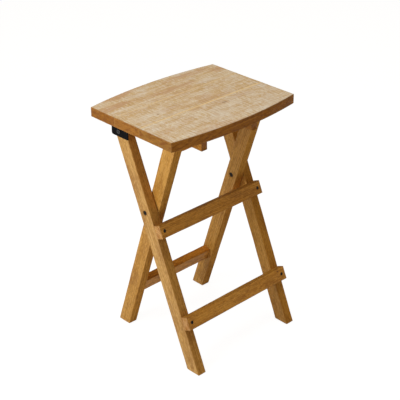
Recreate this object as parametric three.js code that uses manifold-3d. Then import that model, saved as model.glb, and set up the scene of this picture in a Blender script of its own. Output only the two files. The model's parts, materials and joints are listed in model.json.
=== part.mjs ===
// A folding bar stool in oiled softwood: a plank seat on two crossed leg frames.
// Units are millimetres. +Z is up, the front is -Y, and the seat's length runs along X.
// The origin is the middle of the bounding box on the floor.

import * as THREE from "three";
import { RoundedBoxGeometry } from "three/addons/geometries/RoundedBoxGeometry.js";
import { mergeVertices, toCreasedNormals } from "three/addons/utils/BufferGeometryUtils.js";
import Module from "manifold-3d";

// Seat: three planks glued edge to edge, both long edges bowed
const SEAT_HEIGHT = 610;
const SEAT_LENGTH = 398;
const SEAT_DEPTH_AT_ENDS = 275;
const SEAT_BOW = 18;
const SEAT_THICKNESS = 24;
const FRONT_JOINT_BEFORE_CENTRE = 32;
const REAR_JOINT_BEHIND_CENTRE = 53;
const PLANK_EASE = 0.8;

// Leg frames
const OUTER_FRAME_WIDTH = 340;
const LEG_THICKNESS = 25;
const LEG_WIDTH = 36.5;
const LEG_EASE = 1.4;
const LEG_SPACING = 1.5;
const PIVOT_HEIGHT = 376.5;
const PIVOT_BEFORE_CENTRE = 10.5;
const HINGE_BEHIND_CENTRE = 69.5;
const HINGE_BELOW_SEAT = 24;
const INNER_TOP_BEHIND_EDGE = 58.52;

// Rails, all cut from one stock, placed by the distance from the pivot along the leg
const RAIL_WIDTH = 33.5;
const RAIL_THICKNESS = 21;
const RAIL_EASE = 1.4;
const UPPER_RAIL_FROM_PIVOT = 33;
const LOWER_RAIL_FROM_PIVOT = 264.4;
const REAR_RAIL_FROM_PIVOT = 258.4;
const REAR_RAIL_BEHIND_CENTRE = 3.2;
const TOP_BAR_BELOW_SEAT = 11.1;

// Seat battens, on edge under the planks, notched over the top bar
const BATTEN_THICKNESS = 18;
const BATTEN_DEPTH = 38.3;
const BATTEN_LENGTH = 177.7;
const BATTEN_INSIDE_LEG = 27.5;
const BATTEN_FRONT_INSET = 16.8;
const BATTEN_EASE = 1;
const NOTCH_CLEARANCE = 1;
const NOTCH_REAR_SLOPE = THREE.MathUtils.degToRad(38);

// Hinge brackets: bent steel plates, one leg against the outer leg and one under the seat
const BRACKET_LENGTH = 57.5;
const BRACKET_BEFORE_HINGE = 2.5;
const BRACKET_DROP = 37.5;
const BRACKET_REACH = 23;
const BRACKET_PLATE = 2.5;
const BRACKET_BEND = 2;
const BRACKET_FRONT_CORNER = 2.5;
const BRACKET_REAR_CORNER = 5;
const BRACKET_FLANGE_CORNER = 4;
const BRACKET_SCREW_SPREAD = 22;

// Hinge bolts, nuts and washers
const HINGE_SHANK_RADIUS = 3;
const HINGE_HEAD_RADIUS = 5.6;
const HINGE_HEAD_HEIGHT = 2.4;
const HINGE_SOCKET_RADIUS = 2.2;
const HINGE_SOCKET_DEPTH = 1.4;
const HINGE_WASHER_RADIUS = 8;
const HINGE_WASHER_THICKNESS = 0.8;
const HINGE_NUT_RADIUS = 5.8;
const HINGE_NUT_HEIGHT = 5;
const HINGE_NUT_SINK = 1;
const HINGE_NUT_ROOM = 0.9;

// Pivot bolts, sleeve nuts and spacers
const PIVOT_SHANK_RADIUS = 3;
const PIVOT_HEAD_RADIUS = 6;
const PIVOT_HEAD_HEIGHT = 2.5;
const PIVOT_HEAD_SINK = 1.2;
const PIVOT_SOCKET_RADIUS = 2.3;
const PIVOT_SOCKET_DEPTH = 1.5;
const PIVOT_SLEEVE_RADIUS = 4.5;
const PIVOT_SLEEVE_GRIP = 13;
const PIVOT_SPACER_RADIUS = 11;

// Rail screws
const RAIL_SCREW_HEAD_RADIUS = 4.2;
const RAIL_SCREW_HEAD_HEIGHT = 2.4;
const RAIL_SCREW_SINK = 0.8;
const RAIL_SCREW_SHANK_RADIUS = 2.3;
const RAIL_SCREW_BITE = 24;

// Screws up into the planks
const SEAT_SCREW_HEAD_RADIUS = 3.9;
const SEAT_SCREW_HEAD_HEIGHT = 2;
const SEAT_SCREW_SHANK_RADIUS = 1.9;
const SEAT_SCREW_BITE = 14;
const SCREW_SOCKET_DEPTH = 1.2;
const SCREW_SOCKET_RADIUS = 1.7;
const SCREW_POINT = 3;
const BATTEN_SCREW_SINK = 18;
const BATTEN_SCREW_INSET = 14;
const BATTEN_SCREW_BEHIND_NOTCH = 20;

// Dowels that join the rear rail and the top bar to the inner legs
const DOWEL_RADIUS = 4;
const DOWEL_LENGTH = 29;
const DOWEL_SPREAD = 16;
const DOWEL_CHAMFER = 0.8;

// Foot glides
const GLIDE_RADIUS = 9;
const GLIDE_HEIGHT = 1.5;
const GLIDE_EDGE = 0.5;
const GLIDE_STEM_RADIUS = 2.5;
const GLIDE_STEM_LENGTH = 14;

// Clearances: what moves, what is bored for something, and what is screwed against a sloping face
const RUNNING_GAP = 0.3;
const BORE_GAP = 0.3;
const SEATING_GAP = 0.15;
const CUT_OVERRUN = 2;

// Facets
const ROUND_STEPS = 18;
const SCREW_STEPS = 12;
const SOCKET_SIDES = 6;
const BOW_STEPS = 20;
const LEG_TOP_STEPS = 12;
const CORNER_STEPS = 3;
const EASE_STEPS = 2;
const CREASE_ANGLE = THREE.MathUtils.degToRad(35);

// Places that follow from the sizes, in the seat's own frame before the origin is moved
const undersideZ = SEAT_HEIGHT - SEAT_THICKNESS;
const pivotY = -PIVOT_BEFORE_CENTRE;
const hingeY = HINGE_BEHIND_CENTRE;
const hingeZ = undersideZ - HINGE_BELOW_SEAT;
const hingeReach = Math.hypot(hingeY - pivotY, hingeZ - PIVOT_HEIGHT);
const outerLean = Math.atan2(hingeY - pivotY, hingeZ - PIVOT_HEIGHT);
const innerTopY = INNER_TOP_BEHIND_EDGE - SEAT_DEPTH_AT_ENDS / 2;
const innerLean = Math.atan2(pivotY - innerTopY, undersideZ - PIVOT_HEIGHT);
const halfWidth = LEG_WIDTH / 2;
const outerFace = OUTER_FRAME_WIDTH / 2;
const outerLegX = outerFace - LEG_THICKNESS / 2;
const outerInside = outerFace - LEG_THICKNESS;
const innerFace = outerInside - LEG_SPACING;
const innerLegX = innerFace - LEG_THICKNESS / 2;
const innerInside = innerFace - LEG_THICKNESS;
const SIDES = [
  { name: "left", sign: -1 },
  { name: "right", sign: 1 },
];

const wasm = await Module();
wasm.setup();

// Materials
function finish(color, roughness, metalness) {
  return new THREE.MeshStandardMaterial({ color, roughness, metalness });
}
const seatWood = () => finish(0xcfae7e, 0.75, 0);
const legWood = () => finish(0xb8853f, 0.55, 0);
const dowelWood = () => finish(0xd8b682, 0.7, 0);
const blackSteel = () => finish(0x17181b, 0.45, 0.6);
const darkSteel = () => finish(0x2b2a29, 0.4, 0.8);
const brightSteel = () => finish(0xb5b5b2, 0.3, 1);
const darkPlastic = () => finish(0x2a2320, 0.6, 0);
const paleNylon = () => finish(0xd9d4c6, 0.5, 0);

// A closed geometry as a solid that can be joined and cut
function solidOf(geometry) {
  const bare = geometry.clone();
  bare.deleteAttribute("normal");
  bare.deleteAttribute("uv");
  const merged = mergeVertices(bare);
  const mesh = new wasm.Mesh({
    numProp: 3,
    vertProperties: merged.attributes.position.array,
    triVerts: new Uint32Array(merged.index.array),
  });
  return new wasm.Manifold(mesh);
}

function geometryOf(solid) {
  const mesh = solid.getMesh();
  const geometry = new THREE.BufferGeometry();
  geometry.setAttribute("position", new THREE.BufferAttribute(mesh.vertProperties, mesh.numProp));
  geometry.setIndex(new THREE.BufferAttribute(mesh.triVerts, 1));
  return toCreasedNormals(geometry, CREASE_ANGLE);
}

// The body less every tool
function cut(body, tools) {
  let solid = solidOf(body);
  for (const tool of tools) solid = solid.subtract(solidOf(tool));
  return geometryOf(solid);
}

// A shape pulled to a thickness, its two faces' edges eased, centred on the drawing plane
function pulled(shape, thickness, ease, curveSteps = LEG_TOP_STEPS) {
  const depth = thickness - 2 * ease;
  const geometry = new THREE.ExtrudeGeometry(shape, {
    depth,
    bevelEnabled: true,
    bevelThickness: ease,
    bevelSize: ease,
    bevelOffset: -ease,
    bevelSegments: EASE_STEPS,
    curveSegments: curveSteps,
  });
  return geometry.translate(0, 0, -depth / 2);
}

// Drawing planes: the side view has Y to the right, the front view has X to the right, both have Z up
const SIDE_VIEW = new THREE.Matrix4().makeBasis(
  new THREE.Vector3(0, 1, 0),
  new THREE.Vector3(0, 0, 1),
  new THREE.Vector3(1, 0, 0),
);
const FRONT_VIEW = new THREE.Matrix4().makeBasis(
  new THREE.Vector3(1, 0, 0),
  new THREE.Vector3(0, 0, 1),
  new THREE.Vector3(0, -1, 0),
);

// The same, drawn in the side view and pulled along X
function pulledSideways(shape, thickness, ease) {
  return pulled(shape, thickness, ease).applyMatrix4(SIDE_VIEW);
}

// Turns a geometry whose axis is +Y so that the axis points along the given direction
function aimed(geometry, direction) {
  const turn = new THREE.Quaternion().setFromUnitVectors(new THREE.Vector3(0, 1, 0), direction);
  return geometry.applyQuaternion(turn);
}

// A round cutting tool from a face into the wood: it starts an overrun outside the face
function drill(radius, depth, mouth, inward, steps = ROUND_STEPS) {
  const length = depth + CUT_OVERRUN;
  const tool = new THREE.CylinderGeometry(radius, radius, length, steps);
  tool.translate(0, length / 2 - CUT_OVERRUN, 0);
  return aimed(tool, inward).translate(mouth.x, mouth.y, mouth.z);
}

// A round bar or ring from a closed outline of radius and height pairs
function turned(outline, steps) {
  const points = outline.map(([radius, height]) => new THREE.Vector2(radius, height));
  return new THREE.LatheGeometry(points, steps);
}

// A screw or bolt along +Y: the head stands on the zero plane and the shank hangs below it
function headedPin(size, steps) {
  const { headRadius, headHeight, shankRadius, shankLength, point, socketRadius, socketDepth } = size;
  const dome = headHeight / 3;
  const body = turned(
    [
      [0, -shankLength],
      [shankRadius - point / 2, -shankLength],
      [shankRadius, point - shankLength],
      [shankRadius, 0],
      [headRadius, 0],
      [headRadius, headHeight - dome],
      [headRadius - dome, headHeight],
      [0, headHeight],
    ],
    steps,
  );
  const socketMouth = new THREE.Vector3(0, headHeight, 0);
  const socket = drill(socketRadius, socketDepth, socketMouth, new THREE.Vector3(0, -1, 0), SOCKET_SIDES);
  return cut(body, [socket]);
}

function addMesh(parent, name, geometry, material) {
  const mesh = new THREE.Mesh(geometry, material);
  mesh.name = name;
  parent.add(mesh);
  return mesh;
}

function addAt(parent, name, geometry, material, place) {
  const mesh = addMesh(parent, name, geometry, material);
  mesh.position.copy(place);
  return mesh;
}

// Leg frames: local Z runs up the legs from the pivot and local -Y faces the front
const stool = new THREE.Group();
const outerFrame = new THREE.Group();
outerFrame.position.set(0, pivotY, PIVOT_HEIGHT);
outerFrame.rotation.x = -outerLean;
outerFrame.updateMatrix();
const innerFrame = new THREE.Group();
innerFrame.position.set(0, pivotY, PIVOT_HEIGHT);
innerFrame.rotation.x = innerLean;
innerFrame.updateMatrix();
const seat = new THREE.Group();
stool.add(outerFrame, innerFrame, seat);

// How far up a leg frame its line at local y crosses a level above the floor
function alongAt(frame, localY, level) {
  const turn = frame.rotation.x;
  return (level - PIVOT_HEIGHT - localY * Math.sin(turn)) / Math.cos(turn);
}

function toWorld(frame, x, y, z) {
  return new THREE.Vector3(x, y, z).applyMatrix4(frame.matrix);
}

function toLocal(frame, point) {
  return point.clone().applyMatrix4(frame.matrix.clone().invert());
}

function directionInto(frame, direction) {
  const back = new THREE.Quaternion().setFromEuler(frame.rotation).invert();
  return direction.clone().applyQuaternion(back);
}

const UP = new THREE.Vector3(0, 0, 1);
const DOWN = new THREE.Vector3(0, 0, -1);
const BACK = new THREE.Vector3(0, 1, 0);
const FRONT = new THREE.Vector3(0, -1, 0);
const sideways = (sign) => new THREE.Vector3(sign, 0, 0);

// Feet: the legs are sawn level above their glides
function footCentre(frame, x) {
  return toWorld(frame, x, 0, alongAt(frame, 0, GLIDE_HEIGHT));
}

function stemHole(frame, x) {
  const mouth = toLocal(frame, footCentre(frame, x));
  const depth = GLIDE_STEM_LENGTH + BORE_GAP;
  return drill(GLIDE_STEM_RADIUS + BORE_GAP, depth, mouth, directionInto(frame, UP), SCREW_STEPS);
}

function glideGeometry() {
  const top = GLIDE_HEIGHT - SEATING_GAP;
  return aimed(
    turned(
      [
        [0, 0],
        [GLIDE_RADIUS - GLIDE_EDGE, 0],
        [GLIDE_RADIUS, GLIDE_EDGE],
        [GLIDE_RADIUS, top],
        [GLIDE_STEM_RADIUS, top],
        [GLIDE_STEM_RADIUS, top + GLIDE_STEM_LENGTH],
        [0, top + GLIDE_STEM_LENGTH],
      ],
      ROUND_STEPS,
    ),
    UP,
  );
}

function addGlide(frame, name, x) {
  const foot = footCentre(frame, x);
  addAt(stool, name, glideGeometry(), darkPlastic(), new THREE.Vector3(foot.x, foot.y, 0));
}

// Rails
const upperRailTop = -UPPER_RAIL_FROM_PIVOT;
const lowerRailTop = -LOWER_RAIL_FROM_PIVOT;
const railBackY = -halfWidth - SEATING_GAP;
const railFrontY = railBackY - RAIL_THICKNESS;
const railScrewSeat = RAIL_SCREW_SINK + RAIL_SCREW_HEAD_HEIGHT;
const railScrewGrip = RAIL_THICKNESS - railScrewSeat;
const FRONT_RAILS = [
  { name: "upper_footrest_rail", screw: "upper_rail_screw", middle: upperRailTop - RAIL_WIDTH / 2 },
  { name: "lower_front_rail", screw: "lower_rail_screw", middle: lowerRailTop - RAIL_WIDTH / 2 },
];

function railScrewGeometry() {
  return aimed(
    headedPin(
      {
        headRadius: RAIL_SCREW_HEAD_RADIUS,
        headHeight: RAIL_SCREW_HEAD_HEIGHT,
        shankRadius: RAIL_SCREW_SHANK_RADIUS,
        shankLength: railScrewGrip + RAIL_SCREW_BITE,
        point: SCREW_POINT,
        socketRadius: SCREW_SOCKET_RADIUS,
        socketDepth: SCREW_SOCKET_DEPTH,
      },
      SCREW_STEPS,
    ),
    FRONT,
  );
}

function addFrontRail({ name, screw, middle }) {
  const size = [OUTER_FRAME_WIDTH, RAIL_THICKNESS, RAIL_WIDTH];
  const board = new RoundedBoxGeometry(...size, EASE_STEPS, RAIL_EASE);
  board.translate(0, (railBackY + railFrontY) / 2, middle);
  const holes = SIDES.flatMap(({ sign }) => {
    const mouth = new THREE.Vector3(sign * outerLegX, railFrontY, middle);
    return [
      drill(RAIL_SCREW_HEAD_RADIUS + BORE_GAP, railScrewSeat, mouth, BACK, SCREW_STEPS),
      drill(RAIL_SCREW_SHANK_RADIUS + BORE_GAP, RAIL_THICKNESS + CUT_OVERRUN, mouth, BACK, SCREW_STEPS),
    ];
  });
  addMesh(outerFrame, name, cut(board, holes), legWood());
  for (const { name: side, sign } of SIDES) {
    const place = new THREE.Vector3(sign * outerLegX, railFrontY + railScrewSeat - SEATING_GAP, middle);
    addAt(outerFrame, screw + "_" + side, railScrewGeometry(), darkSteel(), place);
  }
}

// Outer legs: level foot, top end rounded about the hinge
const nutPocketDepth = HINGE_NUT_SINK + HINGE_NUT_HEIGHT;
const pivotHeadPocket = PIVOT_HEAD_SINK + PIVOT_HEAD_HEIGHT;

function outerLegShape() {
  const shape = new THREE.Shape();
  shape.moveTo(-halfWidth, alongAt(outerFrame, -halfWidth, GLIDE_HEIGHT));
  shape.lineTo(halfWidth, alongAt(outerFrame, halfWidth, GLIDE_HEIGHT));
  shape.absarc(0, hingeReach, halfWidth, 0, Math.PI);
  shape.closePath();
  return shape;
}

function addOuterLeg({ name, sign }) {
  const leg = pulledSideways(outerLegShape(), LEG_THICKNESS, LEG_EASE).translate(sign * outerLegX, 0, 0);
  const outward = sideways(sign);
  const inward = sideways(-sign);
  const through = LEG_THICKNESS + CUT_OVERRUN;
  const pivotMouth = new THREE.Vector3(sign * outerFace, 0, 0);
  const hingeMouth = new THREE.Vector3(sign * outerFace, 0, hingeReach);
  const nutMouth = new THREE.Vector3(sign * outerInside, 0, hingeReach);
  const holes = [
    drill(PIVOT_SHANK_RADIUS + BORE_GAP, through, pivotMouth, inward),
    drill(PIVOT_HEAD_RADIUS + BORE_GAP, pivotHeadPocket, pivotMouth, inward),
    drill(HINGE_SHANK_RADIUS + BORE_GAP, through, hingeMouth, inward),
    drill(HINGE_NUT_RADIUS + HINGE_NUT_ROOM, nutPocketDepth, nutMouth, outward),
    stemHole(outerFrame, sign * outerLegX),
  ];
  for (const { middle } of FRONT_RAILS) {
    const mouth = new THREE.Vector3(sign * outerLegX, -halfWidth, middle);
    const depth = RAIL_SCREW_BITE + BORE_GAP;
    holes.push(drill(RAIL_SCREW_SHANK_RADIUS + BORE_GAP, depth, mouth, BACK, SCREW_STEPS));
  }
  addMesh(outerFrame, "outer_leg_" + name, cut(leg, holes), legWood());
  addGlide(outerFrame, "front_glide_" + name, sign * outerLegX);
}

// Pivots: a bolt from outside, a sleeve nut from inside, and a spacer between the legs.
// The bolt is held in the outer leg and the inner leg turns on the sleeve.
const sleeveSeatX = innerInside + pivotHeadPocket;
const sleeveEndX = sleeveSeatX + PIVOT_SLEEVE_GRIP;

function pivotBoltGeometry(sign) {
  const headSeat = outerFace - pivotHeadPocket + SEATING_GAP;
  const shankEnd = sleeveSeatX + BORE_GAP;
  return aimed(
    headedPin(
      {
        headRadius: PIVOT_HEAD_RADIUS,
        headHeight: PIVOT_HEAD_HEIGHT,
        shankRadius: PIVOT_SHANK_RADIUS,
        shankLength: headSeat - shankEnd,
        point: PIVOT_HEAD_SINK,
        socketRadius: PIVOT_SOCKET_RADIUS,
        socketDepth: PIVOT_SOCKET_DEPTH,
      },
      ROUND_STEPS,
    ),
    sideways(sign),
  ).translate(sign * headSeat, 0, 0);
}

function pivotNutGeometry(sign) {
  const flangeSeat = sleeveSeatX - RUNNING_GAP;
  const flangeFace = flangeSeat - PIVOT_HEAD_HEIGHT;
  const dome = PIVOT_HEAD_HEIGHT / 3;
  const bore = PIVOT_SHANK_RADIUS + BORE_GAP;
  const sleeve = turned(
    [
      [0, flangeFace],
      [PIVOT_HEAD_RADIUS - dome, flangeFace],
      [PIVOT_HEAD_RADIUS, flangeFace + dome],
      [PIVOT_HEAD_RADIUS, flangeSeat],
      [PIVOT_SLEEVE_RADIUS, flangeSeat],
      [PIVOT_SLEEVE_RADIUS, sleeveEndX],
      [bore, sleeveEndX],
      [bore, sleeveSeatX],
      [0, sleeveSeatX],
    ],
    ROUND_STEPS,
  );
  const mouth = new THREE.Vector3(0, flangeFace, 0);
  const socket = drill(PIVOT_SOCKET_RADIUS, PIVOT_SOCKET_DEPTH, mouth, BACK, SOCKET_SIDES);
  return aimed(cut(sleeve, [socket]), sideways(sign));
}

// A flat ring on the X axis between two distances from the middle of the stool
function ringGeometry(innerRadius, outerRadius, near, far, sign) {
  const outline = [
    [innerRadius, near],
    [outerRadius, near],
    [outerRadius, far],
    [innerRadius, far],
    [innerRadius, near],
  ];
  return aimed(turned(outline, ROUND_STEPS), sideways(sign));
}

function hexNutGeometry(boreRadius, cornerRadius, near, far, sign) {
  const blank = turned(
    [
      [0, near],
      [cornerRadius, near],
      [cornerRadius, far],
      [0, far],
    ],
    SOCKET_SIDES,
  );
  const bore = drill(boreRadius, far - near + CUT_OVERRUN, new THREE.Vector3(0, near, 0), BACK);
  return aimed(cut(blank, [bore]), sideways(sign));
}

function addPivot({ name, sign }) {
  addMesh(outerFrame, "pivot_bolt_" + name, pivotBoltGeometry(sign), darkSteel());
  addMesh(outerFrame, "pivot_nut_" + name, pivotNutGeometry(sign), darkSteel());
  const bore = PIVOT_SHANK_RADIUS + BORE_GAP;
  const near = innerFace + RUNNING_GAP;
  const spacer = ringGeometry(bore, PIVOT_SPACER_RADIUS, near, outerInside, sign);
  addMesh(outerFrame, "pivot_spacer_" + name, spacer, paleNylon());
}

// Inner frame: legs sawn level under the seat, a top bar laid flat and a rear rail
const topBarFrontY = -halfWidth;
const topBarBackY = topBarFrontY + RAIL_WIDTH;
const topBarTop = alongAt(innerFrame, topBarBackY, undersideZ - TOP_BAR_BELOW_SEAT);
const topBar = {
  name: "inner_top_bar",
  dowel: "top_bar_dowel",
  y: (topBarFrontY + topBarBackY) / 2,
  z: topBarTop - RAIL_THICKNESS / 2,
  sizeY: RAIL_WIDTH,
  sizeZ: RAIL_THICKNESS,
  spread: BACK,
};
const rearRail = {
  name: "inner_rear_rail",
  dowel: "rear_rail_dowel",
  y: REAR_RAIL_BEHIND_CENTRE,
  z: -REAR_RAIL_FROM_PIVOT - RAIL_WIDTH / 2,
  sizeY: RAIL_THICKNESS,
  sizeZ: RAIL_WIDTH,
  spread: UP,
};
const dowelHoleDepth = DOWEL_LENGTH / 2 + BORE_GAP;

function dowelCentres({ y, z, spread }, x) {
  return [-DOWEL_SPREAD / 2, DOWEL_SPREAD / 2].map((offset) =>
    new THREE.Vector3(x, y, z).addScaledVector(spread, offset),
  );
}

function dowelHoles(rail, x, inward) {
  return dowelCentres(rail, x).map((mouth) =>
    drill(DOWEL_RADIUS + BORE_GAP, dowelHoleDepth, mouth, inward, SCREW_STEPS),
  );
}

function dowelGeometry() {
  const half = DOWEL_LENGTH / 2;
  return aimed(
    turned(
      [
        [0, -half],
        [DOWEL_RADIUS - DOWEL_CHAMFER, -half],
        [DOWEL_RADIUS, DOWEL_CHAMFER - half],
        [DOWEL_RADIUS, half - DOWEL_CHAMFER],
        [DOWEL_RADIUS - DOWEL_CHAMFER, half],
        [0, half],
      ],
      SCREW_STEPS,
    ),
    sideways(1),
  );
}

function addInnerRail(rail) {
  const size = [2 * innerInside, rail.sizeY, rail.sizeZ];
  const board = new RoundedBoxGeometry(...size, EASE_STEPS, RAIL_EASE);
  board.translate(0, rail.y, rail.z);
  const holes = SIDES.flatMap(({ sign }) => dowelHoles(rail, sign * innerInside, sideways(-sign)));
  addMesh(innerFrame, rail.name, cut(board, holes), legWood());
  for (const { name, sign } of SIDES) {
    dowelCentres(rail, sign * innerInside).forEach((centre, index) => {
      const dowelName = rail.dowel + "_" + name + "_" + (index + 1);
      addAt(innerFrame, dowelName, dowelGeometry(), dowelWood(), centre);
    });
  }
}

function innerLegShape() {
  const topLevel = undersideZ - RUNNING_GAP;
  const shape = new THREE.Shape();
  shape.moveTo(-halfWidth, alongAt(innerFrame, -halfWidth, GLIDE_HEIGHT));
  shape.lineTo(halfWidth, alongAt(innerFrame, halfWidth, GLIDE_HEIGHT));
  shape.lineTo(halfWidth, alongAt(innerFrame, halfWidth, topLevel));
  shape.lineTo(-halfWidth, alongAt(innerFrame, -halfWidth, topLevel));
  shape.closePath();
  return shape;
}

function addInnerLeg({ name, sign }) {
  const leg = pulledSideways(innerLegShape(), LEG_THICKNESS, LEG_EASE).translate(sign * innerLegX, 0, 0);
  const outward = sideways(sign);
  const mouth = new THREE.Vector3(sign * innerInside, 0, 0);
  const holes = [
    drill(PIVOT_SLEEVE_RADIUS + BORE_GAP, LEG_THICKNESS + CUT_OVERRUN, mouth, outward),
    drill(PIVOT_HEAD_RADIUS + BORE_GAP, pivotHeadPocket, mouth, outward),
    stemHole(innerFrame, sign * innerLegX),
    ...dowelHoles(topBar, sign * innerInside, outward),
    ...dowelHoles(rearRail, sign * innerInside, outward),
  ];
  addMesh(innerFrame, "inner_leg_" + name, cut(leg, holes), legWood());
  addGlide(innerFrame, "rear_glide_" + name, sign * innerLegX);
}

// Seat battens: the notch follows the tilted top bar at its front and opens wide behind it
const battenX = innerInside - BATTEN_INSIDE_LEG - BATTEN_THICKNESS / 2;
const battenFrontY = BATTEN_FRONT_INSET - SEAT_DEPTH_AT_ENDS / 2;
const battenRearY = battenFrontY + BATTEN_LENGTH;
const battenBottomZ = undersideZ - BATTEN_DEPTH;
const notchFrontTop = toWorld(innerFrame, 0, topBarFrontY - NOTCH_CLEARANCE, topBarTop + NOTCH_CLEARANCE);
const notchRearTop = toWorld(innerFrame, 0, topBarBackY + NOTCH_CLEARANCE, topBarTop + NOTCH_CLEARANCE);
const notchFrontBottomY = notchFrontTop.y + (notchFrontTop.z - battenBottomZ) * Math.tan(innerLean);
const notchRearBottomY = notchRearTop.y + (notchRearTop.z - battenBottomZ) * Math.tan(NOTCH_REAR_SLOPE);
const battenScrewSeatZ = battenBottomZ + BATTEN_SCREW_SINK;
const battenScrewPlaces = [
  battenFrontY + BATTEN_SCREW_INSET,
  notchRearBottomY + BATTEN_SCREW_BEHIND_NOTCH,
  battenRearY - BATTEN_SCREW_INSET,
];

function battenShape() {
  const shape = new THREE.Shape();
  shape.moveTo(battenFrontY, battenBottomZ);
  shape.lineTo(notchFrontBottomY, battenBottomZ);
  shape.lineTo(notchFrontTop.y, notchFrontTop.z);
  shape.lineTo(notchRearTop.y, notchRearTop.z);
  shape.lineTo(notchRearBottomY, battenBottomZ);
  shape.lineTo(battenRearY, battenBottomZ);
  shape.lineTo(battenRearY, undersideZ);
  shape.lineTo(battenFrontY, undersideZ);
  shape.closePath();
  return shape;
}

// A screw that points up: its head hangs under the seat level and its shank reaches into a plank
function seatScrewGeometry(grip) {
  return aimed(
    headedPin(
      {
        headRadius: SEAT_SCREW_HEAD_RADIUS,
        headHeight: SEAT_SCREW_HEAD_HEIGHT,
        shankRadius: SEAT_SCREW_SHANK_RADIUS,
        shankLength: grip + SEAT_SCREW_BITE,
        point: SCREW_POINT,
        socketRadius: SCREW_SOCKET_RADIUS,
        socketDepth: SCREW_SOCKET_DEPTH,
      },
      SCREW_STEPS,
    ),
    DOWN,
  );
}

function addBatten({ name, sign }) {
  const x = sign * battenX;
  const batten = pulledSideways(battenShape(), BATTEN_THICKNESS, BATTEN_EASE).translate(x, 0, 0);
  const holes = battenScrewPlaces.flatMap((y) => {
    const mouth = new THREE.Vector3(x, y, battenBottomZ);
    return [
      drill(SEAT_SCREW_HEAD_RADIUS + BORE_GAP, BATTEN_SCREW_SINK, mouth, UP, SCREW_STEPS),
      drill(SEAT_SCREW_SHANK_RADIUS + BORE_GAP, BATTEN_DEPTH + CUT_OVERRUN, mouth, UP, SCREW_STEPS),
    ];
  });
  addMesh(seat, "seat_batten_" + name, cut(batten, holes), legWood());
  battenScrewPlaces.forEach((y, index) => {
    const place = new THREE.Vector3(x, y, battenScrewSeatZ - SEATING_GAP);
    const screw = seatScrewGeometry(undersideZ - battenScrewSeatZ);
    addAt(seat, "batten_screw_" + name + "_" + (index + 1), screw, darkSteel(), place);
  });
}

// Hinge brackets: the upright hangs beside the outer leg and the flange turns outward under the seat
const uprightInnerX = outerFace + HINGE_WASHER_THICKNESS + RUNNING_GAP;
const uprightOuterX = uprightInnerX + BRACKET_PLATE;
const flangeEndX = uprightInnerX + BRACKET_REACH;
const flangeMiddleX = (uprightOuterX + BRACKET_BEND + flangeEndX) / 2;
const bracketMiddleY = hingeY - BRACKET_BEFORE_HINGE;
const bracketFrontY = bracketMiddleY - BRACKET_LENGTH / 2;
const bracketRearY = bracketMiddleY + BRACKET_LENGTH / 2;
const bracketBottomZ = undersideZ - BRACKET_DROP;
const bracketScrewPlaces = [
  bracketMiddleY - BRACKET_SCREW_SPREAD,
  bracketMiddleY,
  bracketMiddleY + BRACKET_SCREW_SPREAD,
];

// The bent section, drawn looking along the seat from the front: X to the right, Z up
function bracketSection() {
  const outerBend = BRACKET_BEND + BRACKET_PLATE;
  const bendX = uprightInnerX + outerBend;
  const bendZ = undersideZ - outerBend;
  const shape = new THREE.Shape();
  shape.moveTo(uprightInnerX, bracketBottomZ);
  shape.lineTo(uprightOuterX, bracketBottomZ);
  shape.lineTo(uprightOuterX, bendZ);
  shape.absarc(bendX, bendZ, BRACKET_BEND, Math.PI, Math.PI / 2, true);
  shape.lineTo(flangeEndX, undersideZ - BRACKET_PLATE);
  shape.lineTo(flangeEndX, undersideZ);
  shape.lineTo(bendX, undersideZ);
  shape.absarc(bendX, bendZ, outerBend, Math.PI / 2, Math.PI, false);
  shape.closePath();
  return shape;
}

// The side view of the upright, its two lower corners rounded
function bracketSideShape() {
  const top = undersideZ + CUT_OVERRUN;
  const front = BRACKET_FRONT_CORNER;
  const rear = BRACKET_REAR_CORNER;
  const shape = new THREE.Shape();
  shape.moveTo(bracketFrontY, top);
  shape.lineTo(bracketFrontY, bracketBottomZ + front);
  shape.absarc(bracketFrontY + front, bracketBottomZ + front, front, Math.PI, 1.5 * Math.PI, false);
  shape.lineTo(bracketRearY - rear, bracketBottomZ);
  shape.absarc(bracketRearY - rear, bracketBottomZ + rear, rear, 1.5 * Math.PI, 2 * Math.PI, false);
  shape.lineTo(bracketRearY, top);
  shape.closePath();
  return shape;
}

// The plan view, the flange's two free corners rounded
function bracketPlanShape() {
  const corner = BRACKET_FLANGE_CORNER;
  const shape = new THREE.Shape();
  shape.moveTo(uprightInnerX - CUT_OVERRUN, bracketFrontY);
  shape.lineTo(flangeEndX - corner, bracketFrontY);
  shape.absarc(flangeEndX - corner, bracketFrontY + corner, corner, 1.5 * Math.PI, 2 * Math.PI, false);
  shape.lineTo(flangeEndX, bracketRearY - corner);
  shape.absarc(flangeEndX - corner, bracketRearY - corner, corner, 0, Math.PI / 2, false);
  shape.lineTo(uprightInnerX - CUT_OVERRUN, bracketRearY);
  shape.closePath();
  return shape;
}

function plainPull(shape, depth) {
  return new THREE.ExtrudeGeometry(shape, { depth, bevelEnabled: false, curveSegments: CORNER_STEPS });
}

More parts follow.
